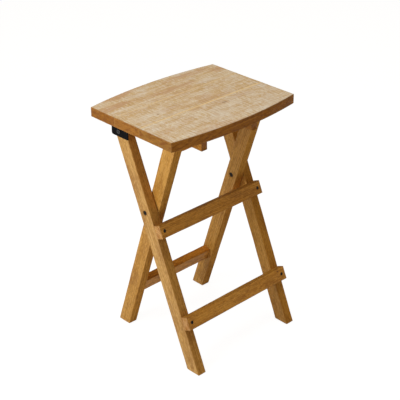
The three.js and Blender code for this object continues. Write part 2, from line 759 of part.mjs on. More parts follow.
function bracketGeometry() {
  const overLength = BRACKET_LENGTH + 2 * CUT_OVERRUN;
  const bent = plainPull(bracketSection(), overLength).applyMatrix4(FRONT_VIEW);
  bent.translate(0, bracketRearY + CUT_OVERRUN, 0);
  const side = plainPull(bracketSideShape(), flangeEndX + CUT_OVERRUN).applyMatrix4(SIDE_VIEW);
  const plan = plainPull(bracketPlanShape(), BRACKET_DROP + 2 * CUT_OVERRUN);
  plan.translate(0, 0, bracketBottomZ - CUT_OVERRUN);
  const blank = solidOf(bent).intersect(solidOf(side)).intersect(solidOf(plan));
  const through = BRACKET_PLATE + CUT_OVERRUN;
  const hingeMouth = new THREE.Vector3(uprightInnerX, hingeY, hingeZ);
  const holes = [drill(HINGE_SHANK_RADIUS + BORE_GAP, through, hingeMouth, sideways(1))];
  for (const y of bracketScrewPlaces) {
    const mouth = new THREE.Vector3(flangeMiddleX, y, undersideZ);
    holes.push(drill(SEAT_SCREW_SHANK_RADIUS + BORE_GAP, through, mouth, DOWN, SCREW_STEPS));
  }
  return cut(geometryOf(blank), holes);
}

// The left-hand piece is the right-hand one seen in a mirror
function mirrored(geometry) {
  const plain = geometry.clone().applyMatrix4(new THREE.Matrix4().makeScale(-1, 1, 1));
  const position = plain.attributes.position;
  for (let corner = 0; corner < position.count; corner += 3) {
    const held = new THREE.Vector3().fromBufferAttribute(position, corner + 1);
    const other = new THREE.Vector3().fromBufferAttribute(position, corner + 2);
    position.setXYZ(corner + 1, other.x, other.y, other.z);
    position.setXYZ(corner + 2, held.x, held.y, held.z);
  }
  plain.computeVertexNormals();
  return plain;
}

function addBracket({ name, sign }) {
  const right = bracketGeometry();
  addMesh(seat, "hinge_bracket_" + name, sign > 0 ? right : mirrored(right), blackSteel());
  bracketScrewPlaces.forEach((y, index) => {
    const place = new THREE.Vector3(sign * flangeMiddleX, y, undersideZ - BRACKET_PLATE - SEATING_GAP);
    const screw = seatScrewGeometry(BRACKET_PLATE);
    addAt(seat, "bracket_screw_" + name + "_" + (index + 1), screw, darkSteel(), place);
  });
}

// Hinge bolt: clamped through the outer leg by its nut, the bracket turns on its shank
function addHinge({ name, sign }) {
  const headSeatX = uprightOuterX + RUNNING_GAP;
  const nutFarX = outerInside + HINGE_NUT_SINK;
  const nutSeatX = nutFarX + HINGE_NUT_HEIGHT - SEATING_GAP;
  const bolt = aimed(
    headedPin(
      {
        headRadius: HINGE_HEAD_RADIUS,
        headHeight: HINGE_HEAD_HEIGHT,
        shankRadius: HINGE_SHANK_RADIUS,
        shankLength: headSeatX - nutFarX,
        point: HINGE_NUT_SINK,
        socketRadius: HINGE_SOCKET_RADIUS,
        socketDepth: HINGE_SOCKET_DEPTH,
      },
      ROUND_STEPS,
    ),
    sideways(sign),
  ).translate(sign * headSeatX, 0, 0);
  const bore = HINGE_SHANK_RADIUS + BORE_GAP;
  const nut = hexNutGeometry(bore, HINGE_NUT_RADIUS, nutFarX, nutSeatX, sign);
  const washerNear = outerFace + SEATING_GAP;
  const washerFar = outerFace + HINGE_WASHER_THICKNESS;
  const washer = ringGeometry(bore, HINGE_WASHER_RADIUS, washerNear, washerFar, sign);
  const place = new THREE.Vector3(0, 0, hingeReach);
  addAt(outerFrame, "hinge_bolt_" + name, bolt, brightSteel(), place);
  addAt(outerFrame, "hinge_nut_" + name, nut, brightSteel(), place);
  addAt(outerFrame, "hinge_washer_" + name, washer, brightSteel(), place);
}

// Planks: drawn in plan, X to the right and Y to the rear
const endY = SEAT_DEPTH_AT_ENDS / 2;
const endX = SEAT_LENGTH / 2;
const frontJointY = -FRONT_JOINT_BEFORE_CENTRE;
const rearJointY = REAR_JOINT_BEHIND_CENTRE;

// The bowed edge is a parabola from one end of the seat to the other, SEAT_BOW proud in the middle
function bowedPlankShape(jointY, outwardSign) {
  const shape = new THREE.Shape();
  const edgeY = outwardSign * endY;
  const control = outwardSign * (endY + 2 * SEAT_BOW);
  const start = -outwardSign * endX;
  shape.moveTo(-start, jointY);
  shape.lineTo(-start, edgeY);
  shape.quadraticCurveTo(0, control, start, edgeY);
  shape.lineTo(start, jointY);
  shape.closePath();
  return shape;
}

function middlePlankShape() {
  const shape = new THREE.Shape();
  shape.moveTo(-endX, frontJointY);
  shape.lineTo(endX, frontJointY);
  shape.lineTo(endX, rearJointY);
  shape.lineTo(-endX, rearJointY);
  shape.closePath();
  return shape;
}

function pilotHoles() {
  const depth = SEAT_SCREW_BITE + BORE_GAP;
  const radius = SEAT_SCREW_SHANK_RADIUS + BORE_GAP;
  const places = SIDES.flatMap(({ sign }) => [
    ...battenScrewPlaces.map((y) => [sign * battenX, y]),
    ...bracketScrewPlaces.map((y) => [sign * flangeMiddleX, y]),
  ]);
  return places.map(([x, y]) => drill(radius, depth, new THREE.Vector3(x, y, undersideZ), UP, SCREW_STEPS));
}

function addPlank(name, shape) {
  const board = pulled(shape, SEAT_THICKNESS, PLANK_EASE, BOW_STEPS);
  board.translate(0, 0, undersideZ + SEAT_THICKNESS / 2);
  addMesh(seat, name, cut(board, pilotHoles()), seatWood());
}

addPlank("seat_plank_front", bowedPlankShape(frontJointY, -1));
addPlank("seat_plank_middle", middlePlankShape());
addPlank("seat_plank_rear", bowedPlankShape(rearJointY, 1));
for (const side of SIDES) {
  addBatten(side);
  addBracket(side);
  addHinge(side);
  addOuterLeg(side);
  addPivot(side);
  addInnerLeg(side);
}
for (const rail of FRONT_RAILS) addFrontRail(rail);
addInnerRail(topBar);
addInnerRail(rearRail);

// The origin moves to the middle of the bounding box: the front feet reach furthest forward,
// and the seat's rear edge or the rear feet furthest back
const frontReach = -toWorld(outerFrame, 0, -halfWidth, alongAt(outerFrame, -halfWidth, GLIDE_HEIGHT)).y;
const rearFootReach = toWorld(innerFrame, 0, halfWidth, alongAt(innerFrame, halfWidth, GLIDE_HEIGHT)).y;
const seatReach = endY + SEAT_BOW;
stool.position.y = (Math.max(frontReach, seatReach) - Math.max(seatReach, rearFootReach)) / 2;

export default stool;
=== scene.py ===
import json
import math

import bpy
import numpy as np
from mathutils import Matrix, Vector


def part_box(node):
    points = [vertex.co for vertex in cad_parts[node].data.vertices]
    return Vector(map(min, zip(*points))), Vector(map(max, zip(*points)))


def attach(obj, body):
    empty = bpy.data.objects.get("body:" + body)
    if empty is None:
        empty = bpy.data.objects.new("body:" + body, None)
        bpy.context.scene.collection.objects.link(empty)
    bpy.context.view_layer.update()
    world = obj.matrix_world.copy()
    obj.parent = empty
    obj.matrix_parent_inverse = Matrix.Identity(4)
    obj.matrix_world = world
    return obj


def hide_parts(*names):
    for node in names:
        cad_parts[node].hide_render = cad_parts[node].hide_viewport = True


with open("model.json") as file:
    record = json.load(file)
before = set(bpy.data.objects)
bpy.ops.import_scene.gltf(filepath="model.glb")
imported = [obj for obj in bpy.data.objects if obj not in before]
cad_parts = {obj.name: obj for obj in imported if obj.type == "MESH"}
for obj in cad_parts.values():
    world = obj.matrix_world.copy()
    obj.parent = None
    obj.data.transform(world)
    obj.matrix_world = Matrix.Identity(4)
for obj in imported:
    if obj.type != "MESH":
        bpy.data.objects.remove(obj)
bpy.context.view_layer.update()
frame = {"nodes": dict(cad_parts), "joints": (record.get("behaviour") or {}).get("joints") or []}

# The stool's sizes, in metres
MM = 0.001
JOINTS = {joint["name"]: np.array(joint["pos_m"]) for joint in frame["joints"]}
PIVOT = JOINTS["leg_fold"]
HINGE = JOINTS["seat_fold"]
SIDES = (("left", -1), ("right", 1))
UP, DOWN = (0, 0, 1), (0, 0, -1)
SEATED_GAP = 0.15 * MM
FREE_GAP = 0.3 * MM

SEAT_TOP = 610 * MM
SEAT_THICKNESS = 24 * MM
SEAT_UNDERSIDE = SEAT_TOP - SEAT_THICKNESS
SEAT_HALF_LENGTH = 199 * MM
SEAT_HALF_DEPTH = 137.5 * MM
SEAT_BOW = 18 * MM
SEAT_MIDDLE_Y = HINGE[1] - 69.5 * MM
FRONT_JOINT_Y = SEAT_MIDDLE_Y - 32 * MM
REAR_JOINT_Y = SEAT_MIDDLE_Y + 53 * MM

LEG_THICKNESS = 25 * MM
LEG_HALF_WIDTH = 18.25 * MM
LEG_EASE = 1.4 * MM
BATTEN_EASE = 1 * MM
SEAT_EASE = 0.9 * MM
OUTER_FACE = 170 * MM
OUTER_INSIDE = OUTER_FACE - LEG_THICKNESS
INNER_FACE = OUTER_INSIDE - 1.5 * MM
INNER_INSIDE = INNER_FACE - LEG_THICKNESS
OUTER_LEAN = math.atan2(HINGE[1] - PIVOT[1], HINGE[2] - PIVOT[2])
INNER_LEAN = math.radians(18.1012)
HINGE_REACH = math.hypot(HINGE[1] - PIVOT[1], HINGE[2] - PIVOT[2])
FOOT_LEVEL = 1.5 * MM

RAIL_WIDTH = 33.5 * MM
RAIL_THICKNESS = 21 * MM
RAIL_BACK = -LEG_HALF_WIDTH - SEATED_GAP
RAIL_FRONT = RAIL_BACK - RAIL_THICKNESS
RAIL_MIDDLES = {"upper": -33 * MM - RAIL_WIDTH / 2, "lower": -264.4 * MM - RAIL_WIDTH / 2}
BATTEN_THICKNESS = 18 * MM
BATTEN_BOTTOM = SEAT_UNDERSIDE - 38.3 * MM
BRACKET_THICKNESS = 2.5 * MM
BRACKET_BEND = 3.25 * MM

# What the top bar sweeps through a batten: Y from the seat's middle, and Z
NOTCH = np.array([[-86.71, 547.7], [-92.41, 565.13], [-58.67, 576.16], [-36.43, 547.7]]) * MM

# Bolts and screws, in millimetres: radius, height and rounding of the head, radius of the shank,
# length of the point, radius and depth of the socket
SEAT_SCREW = (3.9, 2, 0.8, 1.9, 3, 1.7, 1.2)
RAIL_SCREW = (4.2, 2.4, 0.8, 2.3, 3, 1.9, 1.3)
PIVOT_BOLT = (6, 2.5, 1.2, 3, 1.2, 2.3, 1.5)
HINGE_BOLT = (5.6, 2.4, 1.6, 3, 1, 2.2, 1.4)

# Bores, in millimetres: steps of radius and depth from the mouth inward
THROUGH_LEG = LEG_THICKNESS / MM + 4
PIVOT_HEAD_BORE = [(6.3, 3.7), (3.3, THROUGH_LEG)]
PIVOT_SLEEVE_BORE = [(6.3, 3.7), (4.8, THROUGH_LEG)]
HINGE_NUT_BORE = [(6.7, 6), (3.3, THROUGH_LEG)]
BRACKET_BOLT_BORE = [(3.3, 6)]
BRACKET_SCREW_BORE = [(2.2, 6)]
BATTEN_SCREW_BORE = [(4.2, 18), (2.2, 45)]
PLANK_SCREW_BORE = [(2.2, 14.3)]
RAIL_SCREW_BORE = [(4.5, 3.2), (2.6, 25)]
LEG_SCREW_BORE = [(2.6, 24.3)]
STEM_BORE = [(2.8, 14.3)]
DOWEL_BORE = [(4.3, 14.8)]
BOLT_HOLE = 3.3 * MM

# Fineness of the surfaces
SEAT_STEP = 1.25 * MM
BOARD_STEP = 2.4 * MM
BRACKET_STEP = 0.9 * MM
CORNER_STEPS = 4
RIM_STEPS = 8
TURNED_STEPS = 48
BORE_STEPS = 36
HEAD_STEPS = 4
SHARP_ANGLE = math.radians(32)

# Wear and tool marks
PLANE_WAVE = 0.22 * MM
END_WAVE = 0.3 * MM
EDGE_WANDER = 0.28
SAW_DEPTH = 0.34 * MM
SAW_PITCH = 9.4 * MM
SEAM_WIDTH = 2.2 * MM
PLANK_ARRIS = 1.3 * MM
BOARD_ARRIS = 1.5 * MM
SAWN_REACH = 0.7 * MM


def paint(red, green, blue):
    """A screen colour from 0 to 255 as the linear colour that shaders take."""
    screen = np.array([red, green, blue]) / 255
    linear = np.where(screen <= 0.04045, screen / 12.92, ((screen + 0.055) / 1.055) ** 2.4)
    return (*[float(value) for value in linear], 1.0)


def ripple(seed, u, v, u_size, v_size):
    """Smooth noise between -1 and 1: a sum of sine waves with random heading, length and start.

    The sum is divided by the root of their number.
    """
    waves = 9
    random = np.random.default_rng(seed)
    total = 0
    for _ in range(waves):
        heading, start = random.uniform(0, 2 * np.pi, 2)
        length = random.uniform(0.55, 1.8)
        travel = u / u_size * np.cos(heading) + v / v_size * np.sin(heading)
        total = total + np.sin(2 * np.pi * travel / length + start)
    return np.clip(total / (1.2 * np.sqrt(waves)), -1, 1)


def swell(seed, u, v, u_size, v_size):
    """The ripple carried to between 0 and 1."""
    return 0.5 + 0.5 * ripple(seed, u, v, u_size, v_size)


def smooth(value, start, end):
    """A rise from 0 to 1 between start and end, 3 t squared less 2 t cubed."""
    t = np.clip((value - start) / (end - start), 0, 1)
    return t * t * (3 - 2 * t)


def bell(distance, width):
    """1 at no distance, and e to the power of -(distance / width) squared further off."""
    return np.exp(-((np.maximum(distance, 0) / width) ** 2))


def middle_of(node_name):
    """The middle of a node's box."""
    low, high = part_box(node_name)
    return (np.array(low) + np.array(high)) / 2


def on_axis(axis, sign, x):
    """The place on a hinge's axis, or level with any place, that lies at X on one side."""
    return sign * x, *axis[1:]


def aimed(points, place, direction):
    """Turns points so that their Z axis runs in the direction, and moves their origin to the place."""
    axis = np.array(direction, float) / np.linalg.norm(direction)
    helper = np.array([0.0, 1.0, 0.0]) if abs(axis[1]) < 0.9 else np.array([1.0, 0.0, 0.0])
    side = np.cross(helper, axis)
    side /= np.linalg.norm(side)
    return np.array(place) + points @ np.array([side, np.cross(axis, side), axis])


def strips(grid):
    """The quads between neighbouring rows and columns of a grid of point numbers."""
    return np.stack([grid[:-1, :-1], grid[:-1, 1:], grid[1:, 1:], grid[1:, :-1]], -1).reshape(-1, 4)


def volume(points, faces):
    """Six times the volume: each face's triangles with the origin make signed pyramids."""
    total = 0.0
    for corners in faces:
        for k in range(1, corners.shape[1] - 1):
            a, b, c = (points[corners[:, n]] for n in (0, k, k + 1))
            total += np.einsum("ij,ij->", a, np.cross(b, c))
    return total


def solid(name, points, faces):
    """One closed mesh object from an array of points and arrays of quads and triangles, facing out."""
    faces = [corners for corners in faces if len(corners)]
    if volume(points, faces) < 0:
        faces = [corners[:, ::-1] for corners in faces]
    sizes = np.concatenate([np.full(len(corners), corners.shape[1]) for corners in faces])
    loops = np.concatenate([corners.ravel() for corners in faces])
    mesh = bpy.data.meshes.new(name)
    mesh.vertices.add(len(points))
    mesh.vertices.foreach_set("co", np.asarray(points, np.float32).ravel())
    mesh.loops.add(len(loops))
    mesh.loops.foreach_set("vertex_index", loops.astype(np.int32))
    mesh.polygons.add(len(sizes))
    mesh.polygons.foreach_set("loop_start", (np.cumsum(sizes) - sizes).astype(np.int32))
    mesh.update(calc_edges=True)
    mesh.validate()
    piece = bpy.data.objects.new(name, mesh)
    bpy.context.scene.collection.objects.link(piece)
    return piece


def joined(parts):
    """Several point and face arrays as one."""
    start = 0
    points, faces = [], []
    for part_points, part_faces in parts:
        points.append(part_points)
        faces += [corners + start for corners in part_faces]
        start += len(part_points)
    return np.concatenate(points), faces


def carve(piece, cutters):
    """Takes the cutters out of the piece and keeps the result as its mesh."""
    tool = solid("cutter", *joined(cutters))
    modifier = piece.modifiers.new("bores", "BOOLEAN")
    modifier.operation = "DIFFERENCE"
    modifier.solver = "EXACT"
    modifier.object = tool
    bpy.context.view_layer.update()
    graph = bpy.context.evaluated_depsgraph_get()
    made = bpy.data.meshes.new_from_object(piece.evaluated_get(graph))
    plain, cutting = piece.data, tool.data
    piece.modifiers.clear()
    piece.data = made
    made.name = piece.name
    bpy.data.objects.remove(tool)
    bpy.data.meshes.remove(plain)
    bpy.data.meshes.remove(cutting)


def places_of(piece):
    """The places of a piece's points as an array."""
    places = np.empty(3 * len(piece.data.vertices), np.float32)
    piece.data.vertices.foreach_get("co", places)
    return places.reshape(-1, 3).astype(float)


def keep_values(piece, **fields):
    """Stores numbers or vectors, one for each point of a piece, under each name."""
    for name, values in fields.items():
        kind, field = ("FLOAT_VECTOR", "vector") if values.ndim == 2 else ("FLOAT", "value")
        attribute = piece.data.attributes.new(name, kind, "POINT")
        attribute.data.foreach_set(field, np.asarray(values, np.float32).ravel())


def fit(piece, node, body, material):
    """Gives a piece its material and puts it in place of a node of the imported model."""
    piece.data.materials.clear()
    piece.data.materials.append(material)
    piece.data.polygons.foreach_set("use_smooth", np.ones(len(piece.data.polygons), bool))
    piece.data.set_sharp_from_angle(angle=SHARP_ANGLE)
    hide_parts(node)
    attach(piece, body)


# Turned pieces

def turned(rings, loop=False, steps=TURNED_STEPS):
    """A surface of revolution about Z through rings, each a radius and a height.

    Either may be one number for each angle. The first and last ring are points on the axis, or the
    outline closes on itself when loop is set.
    """
    angle = np.linspace(0, 2 * np.pi, steps, endpoint=False)
    radius = np.array([np.broadcast_to(ring[0], steps) for ring in rings])
    height = np.array([np.broadcast_to(ring[1], steps) for ring in rings])
    points = np.stack([radius * np.cos(angle), radius * np.sin(angle), height], -1)
    if loop:
        index = np.arange(len(rings) * steps).reshape(-1, steps)
        index = np.vstack([index, index[:1]])
        return points.reshape(-1, 3), [strips(np.hstack([index, index[:, :1]]))]
    body = points[1:-1].reshape(-1, 3)
    index = np.arange(len(body)).reshape(-1, steps)
    index = np.hstack([index, index[:, :1]])
    foot, tip = len(body), len(body) + 1
    first = np.stack([np.full(steps, foot), index[0, 1:], index[0, :-1]], -1)
    last = np.stack([np.full(steps, tip), index[-1, :-1], index[-1, 1:]], -1)
    ends = np.array([[0, 0, rings[0][1]], [0, 0, rings[-1][1]]], float)
    return np.concatenate([body, ends]), [strips(index), np.concatenate([first, last])]


def six_sided(corner_radius):
    """The radius of a hexagon at each angle: its flats' distance over the cosine off the nearest flat."""
    angle = np.linspace(0, 2 * np.pi, TURNED_STEPS, endpoint=False)
    off = np.mod(angle, np.pi / 3) - np.pi / 6
    return corner_radius * math.cos(np.pi / 6) / np.cos(off)


def rounded(radius, height, ease):
    """Rings of a quarter circle from the side of a head, at its full radius, over to its flat face."""
    turn = np.linspace(0, np.pi / 2, HEAD_STEPS + 1)
    return [(radius - ease + ease * math.cos(a), height - ease + ease * math.sin(a)) for a in turn]


def bolt(sizes, shank_length):
    """A bolt or screw up the Z axis, its head on the zero plane, a six-sided socket in the head.

    The outline runs from the tip up the shank, over the head and down into the socket.
    """
    head, height, ease, shank, point, socket, depth = np.array(sizes) * MM
    socket = six_sided(socket)
    lip, burr = 0.25 * MM, 0.2 * MM
    return turned([
        (0, -shank_length), (shank - point / 2, -shank_length), (shank, point - shank_length), (shank, 0),
        (head - burr, 0), (head, burr), *rounded(head, height, ease),
        (socket + lip, height), (socket, height - lip),
        (socket, height - depth), (0, height - depth - 0.3 * MM),
    ])


def nut(hole, corner_radius, height):
    """A hexagon nut up the Z axis whose corners are turned off by a 30 degree cone on both faces."""
    flat = corner_radius * math.cos(np.pi / 6)
    side = six_sided(corner_radius)
    drop = (side - flat) * math.tan(math.radians(30)) + 0.1 * MM
    lip = 0.4 * MM
    return turned([
        (hole, lip), (hole + lip, 0), (flat, 0), (side, drop), (side, height - drop),
        (flat, height), (hole + lip, height), (hole, height - lip),
    ], loop=True)


def washer(hole, radius, height, ease):
    """A flat ring up the Z axis with all four edges eased by a small flat."""
    return turned([
        (hole, ease), (hole + ease, 0), (radius - ease, 0), (radius, ease),
        (radius, height - ease), (radius - ease, height), (hole + ease, height), (hole, height - ease),
    ], loop=True)


def bore(mouth, inward, stages):
    """A cutter for a stepped hole whose mouth has a small countersunk lip.

    Each stage is a radius and the depth that it reaches, in millimetres. The first stands out of the
    mouth, so that it cuts cleanly.
    """
    lip, over = 0.3 * MM, 3 * MM
    (radius, depth), *deeper = np.array(stages) * MM
    rings = [(0, -over), (radius + lip, -over), (radius + lip, 0), (radius, lip), (radius, depth)]
    for radius, next_depth in deeper:
        rings += [(radius, depth), (radius, next_depth)]
        depth = next_depth
    rings.append((0, depth))
    points, faces = turned(rings, steps=BORE_STEPS)
    return aimed(points, mouth, inward), faces


# Boards

class Lie:
    """How a board lies: its origin and the rows of its own axes, along, across and through."""

    def __init__(self, origin, along, across, through):
        self.origin = np.array(origin, float)
        self.axes = np.array([along, across, through], float)

    def out(self, local):
        """Points of the board's own axes in the stool's."""
        return self.origin + np.asarray(local) @ self.axes

    def back(self, points):
        """Points of the stool's axes in the board's own."""
        return (points - self.origin) @ self.axes.T


def up_the_leg(lean):
    """The direction up a leg that leans to the rear, and the one square to it that faces the rear."""
    up = np.array([0, math.sin(lean), math.cos(lean)])
    rear = np.array([0, math.cos(lean), -math.sin(lean)])
    return up, rear


X_AXIS = np.array([1.0, 0.0, 0.0])
OUTER_UP, OUTER_REAR = up_the_leg(OUTER_LEAN)
INNER_UP, INNER_REAR = up_the_leg(-INNER_LEAN)


# Each cut is a function that says how far along a board it lies, from the place across and an inset

def level_cut(lean, level, sign):
    """A cut level with the floor through a leaning leg."""
    def cut(across, inset):
        return (level + sign * inset - PIVOT[2] + across * math.sin(lean)) / math.cos(lean)
    return cut


def square_cut(place, sign, share=1.0):
    """A cut square to the board, moved in by a share of the inset."""
    def cut(across, inset):
        return place + sign * share * inset + 0 * across
    return cut


def shares(length, step):
    """Shares from 0 to 1, evenly spaced, for points about a step apart."""
    return np.linspace(0, 1, max(3, round(length / step)) + 1)


def board_surface(limits, low, high, half, ease, g, h, seed, wander=EDGE_WANDER, sharper=None):
    """A board as one closed surface in its own axes.

    The two wide faces are grids: across = lo + d + (hi - lo - 2 d) g and
    along = low(across, d) + (high(across, d) - low(across, d)) h. The inset d of the eased edge wanders
    a little, and sharper gives a share of it along the board. The rim is a stack of rings round the
    grids' border: a quarter circle a has the inset d (1 - cos a) and the height half - d + d sin a, and
    between the two quarter circles the inset is nothing.
    """
    lo, hi = limits
    rows, columns = len(h), len(g)

    def eased(g, h):
        share = sharper(h) if sharper else 1
        return ease * share * (1 + wander * ripple(seed, g, h, 1.3, 0.16))

    def placed(g, h, inset):
        across = lo + inset + (hi - lo - 2 * inset) * g
        start = low(across, inset)
        return start + (high(across, inset) - start) * h, across

    i = np.concatenate([np.zeros(columns - 1), np.arange(rows - 1), np.full(columns - 1, rows - 1),
                        np.arange(rows - 1, 0, -1)]).astype(int)
    j = np.concatenate([np.arange(columns - 1), np.full(rows - 1, columns - 1),
                        np.arange(columns - 1, 0, -1), np.zeros(rows - 1)]).astype(int)
    edge = eased(g[j], h[i])
    turn = np.linspace(np.pi / 2, 0, CORNER_STEPS + 1)[:, None]
    inset = edge * (1 - np.cos(turn))
    height = half - edge + edge * np.sin(turn)
    middle = np.linspace(1, -1, RIM_STEPS + 1)[1:-1, None]
    inset = np.concatenate([inset, 0 * middle * edge, inset[::-1]])
    height = np.concatenate([height, middle * (half - edge), -height[::-1]])
    along, across = placed(g[j], h[i], inset)
    rim = np.stack([along, across, height], -1)
    rings, round_count = inset.shape

    inner_h, inner_g = np.meshgrid(h[1:-1], g[1:-1], indexing="ij")
    along, across = placed(inner_g, inner_h, eased(inner_g, inner_h))
    face = np.stack([along, across, np.full_like(along, half)], -1).reshape(-1, 3)
    points = np.concatenate([rim.reshape(-1, 3), face, face * [1, 1, -1]])

    index = np.arange(rings * round_count).reshape(rings, round_count)
    top = np.empty((rows, columns), int)
    bottom = np.empty((rows, columns), int)
    top[i, j], bottom[i, j] = index[0], index[-1]
    start = rings * round_count
    inner = np.arange(inner_g.size).reshape(inner_g.shape)
    top[1:-1, 1:-1] = start + inner
    bottom[1:-1, 1:-1] = start + inner_g.size + inner
    wrapped = np.hstack([index, index[:, :1]])
    return points, [strips(wrapped), strips(top)[:, ::-1], strips(bottom)]


def plane_waves(local, half_width, half, seed):
    """Marks of planing and handling: faces sink by up to PLANE_WAVE where slow ripples are high."""
    along, across, through = local.T
    flat = PLANE_WAVE * swell(seed, along, across, 90 * MM, 40 * MM)
    side = PLANE_WAVE * swell(seed + 50, along, through, 70 * MM, 40 * MM)
    return np.stack([along, across * (1 - side / half_width), through * (1 - flat / half)], -1)


def growth(local, seed):
    """The count of growth rings out from the tree's middle, a slightly bent line beside the board.

    It is the distance from that line, which drifts along the board, over the width of a ring.
    """
    along, across, through = local.T
    random = np.random.default_rng(seed + 900)
    far = random.uniform(28, 60) * MM
    heading = random.uniform(0.15, 0.85) * np.pi * random.choice([-1, 1])
    slope_a, slope_b = random.uniform(-0.035, 0.035, 2)
    ring = random.uniform(2.6, 3.8) * MM
    bend = 1.6 * MM * ripple(seed + 901, along, across, 190 * MM, 400 * MM)
    off_across = across - far * math.cos(heading) + slope_a * along + bend
    off_through = through - far * math.sin(heading) + slope_b * along
    return np.hypot(off_across, off_through) / ring


def surface_values(own, to_side, to_end, to_face, reach, seed):
    """What all wood's shaders read: own axes, ring count, closeness to an arris and to a saw cut."""
    nearest = np.sort(np.stack([to_side, to_end, to_face]), axis=0)
    return {"board": own, "growth": growth(own, seed), "arris": bell(nearest[1], reach),
            "sawn": bell(to_end, SAWN_REACH)}


def board_values(piece, lie, limits, low, high, half, seed):
    """Stores what the wood's shader reads, with a value that is 1 on the two narrow faces, which the
    shader tints with painted shade and makes duller.
    """
    own = lie.back(places_of(piece))
    along, across, through = own.T
    to_side = np.minimum(across - limits[0], limits[1] - across)
    held = np.clip(across, *limits)
    to_end = np.minimum(along - low(held, 0), high(held, 0) - along)
    to_face = half - np.abs(through)
    keep_values(piece, **surface_values(own, to_side, to_end, to_face, BOARD_ARRIS, seed),
                narrow=smooth(to_face - to_side, -0.5 * MM, 0.5 * MM))


# Colours of the wood

WHITE = (1, 1, 1, 1)

# Each tone is pale, middle and deep wood and the colour of its arrises: worn lighter wood, except the
# amber tone's dark arris, which is painted shade along the edges of the rails, bars and battens
PALE, HONEY, AMBER, STAIN = ([paint(*colour) for colour in tone] for tone in (
    ((216, 172, 102), (196, 148, 75), (154, 105, 46), (214, 166, 104)),
    ((215, 164, 82), (194, 140, 56), (152, 100, 32), (190, 140, 76)),
    # Amber: its last colour, the dark arris, is painted shade
    ((230, 167, 71), (207, 141, 49), (158, 97, 26), (96, 58, 24)),
    ((187, 122, 41), (164, 103, 30), (124, 72, 17), (190, 140, 76)),
))
# The second, darker end-grain colour is painted shade for the battens' ends under the seat
PALE_END, BATTEN_SHADE_END = paint(204, 158, 98), paint(166, 108, 40)
FRONT_END, MIDDLE_END, REAR_END = paint(154, 110, 46), paint(164, 110, 38), paint(149, 96, 30)
HAIR_BROWN = paint(96, 56, 22)
KNOT_RING, KNOT_CORE = paint(140, 82, 34), paint(52, 30, 16)

# Factors for the colour of a board's two narrow faces: painted shade, a darker and more saturated colour
# for faces that lie in shade; the dusky one is painted shade on the rails' tops and bottoms under the
# seat
NARROW_SHADE_TONE = (1, 0.88, 0.62, 1)
INNER_NARROW_SHADE_TONE = (1.07, 0.99, 0.78, 1)
DUSKY_SHADE_TONE = (0.64, 0.63, 0.45, 1)

# The sawn top of the seat
BARE_PALE, BARE_DEEP, BARE_RING = paint(219, 189, 137), paint(208, 171, 112), paint(188, 144, 88)
WHITEWASH, DARK_STROKE, SCRATCH = paint(234, 222, 202), paint(178, 138, 86), paint(170, 128, 78)
CHALK, CHALK_GAP = paint(241, 234, 222), paint(193, 143, 94)
WARM_STAIN, PALE_STAIN = paint(192, 143, 99), paint(230, 219, 206)
SEAM, RIM = paint(242, 212, 152), paint(122, 80, 40)
TOP_KNOT_RING, TOP_KNOT_CORE = paint(182, 134, 86), paint(128, 88, 58)

# Each board's seed for its shape, and where in the noise its grain is taken from
SEEDS = {
    "sawn_plank_front": (11, 52.6),
    "sawn_plank_middle": (23, 39.1),
    "sawn_plank_rear": (37, 108.1),
    "notched_batten_left": (41, 69.7),
    "notched_batten_right": (43, 73.1),
    "oiled_outer_leg_left": (3, 5.1),
    "oiled_outer_leg_right": (5, 65.0),
    "oiled_inner_leg_left": (7, 68.4),
    "oiled_inner_leg_right": (9, 71.8),
    "oiled_upper_footrest": (13, 56.0),
    "oiled_lower_rail": (17, 96.7),
    "oiled_top_bar": (29, 49.3),
    "oiled_rear_rail": (31, 109.2),
}


# Shaders

def cleared(owner):
    """The node tree of a material or a world, emptied."""
    owner.use_nodes = True
    owner.node_tree.nodes.clear()
    return owner.node_tree


def new_material(name):
    """A material without nodes, and its tree."""
    material = bpy.data.materials.new(name)
    return material, cleared(material)


def node(tree, kind, inputs=None, **settings):
    """Adds a shader node, sets its options, sets or links its inputs, and gives its outputs."""
    made = tree.nodes.new("ShaderNode" + kind)
    for key, value in settings.items():
        setattr(made, key, value)
    for key, value in (inputs or {}).items():
        if isinstance(value, bpy.types.NodeSocket):
            tree.links.new(value, made.inputs[key])
        else:
            made.inputs[key].default_value = value
    return made.outputs


def value_of(tree, name):
    """A number that a piece holds for each of its points."""
    return node(tree, "Attribute", attribute_name=name)["Fac"]


def maths(tree, operation, a, b=0.5, c=0.5):
    """One step of arithmetic."""
    return node(tree, "Math", {0: a, 1: b, 2: c}, operation=operation)[0]


def times(tree, a, b):
    """Two values multiplied."""
    return maths(tree, "MULTIPLY", a, b)


def scaled(tree, a, factor, base):
    """A value times a factor on top of a base."""
    return maths(tree, "MULTIPLY_ADD", a, factor, base)


def blend(tree, factor, a, b, kind="MIX"):
    """Two colours mixed by a factor."""
    return node(tree, "Mix", {0: factor, 6: a, 7: b}, data_type="RGBA", blend_type=kind)[2]


def spread(tree, value, low, high, start=0.0, end=1.0):
    """A value carried from low..high to start..end, smoothly and held at both ends."""
    inputs = {0: value, 1: low, 2: high, 3: start, 4: end}
    return node(tree, "MapRange", inputs, interpolation_type="SMOOTHSTEP")[0]


def layered(tree, colour, layers):
    """Colours laid over one: each layer is a value, its range from low to high, its most, its colour."""
    for value, low, high, most, over in layers:
        colour = blend(tree, spread(tree, value, low, high, 0.0, most), colour, over)
    return colour


def stretched(tree, vector, scale):
    """A place scaled along each axis."""
    return node(tree, "Mapping", {"Vector": vector, "Scale": scale})[0]


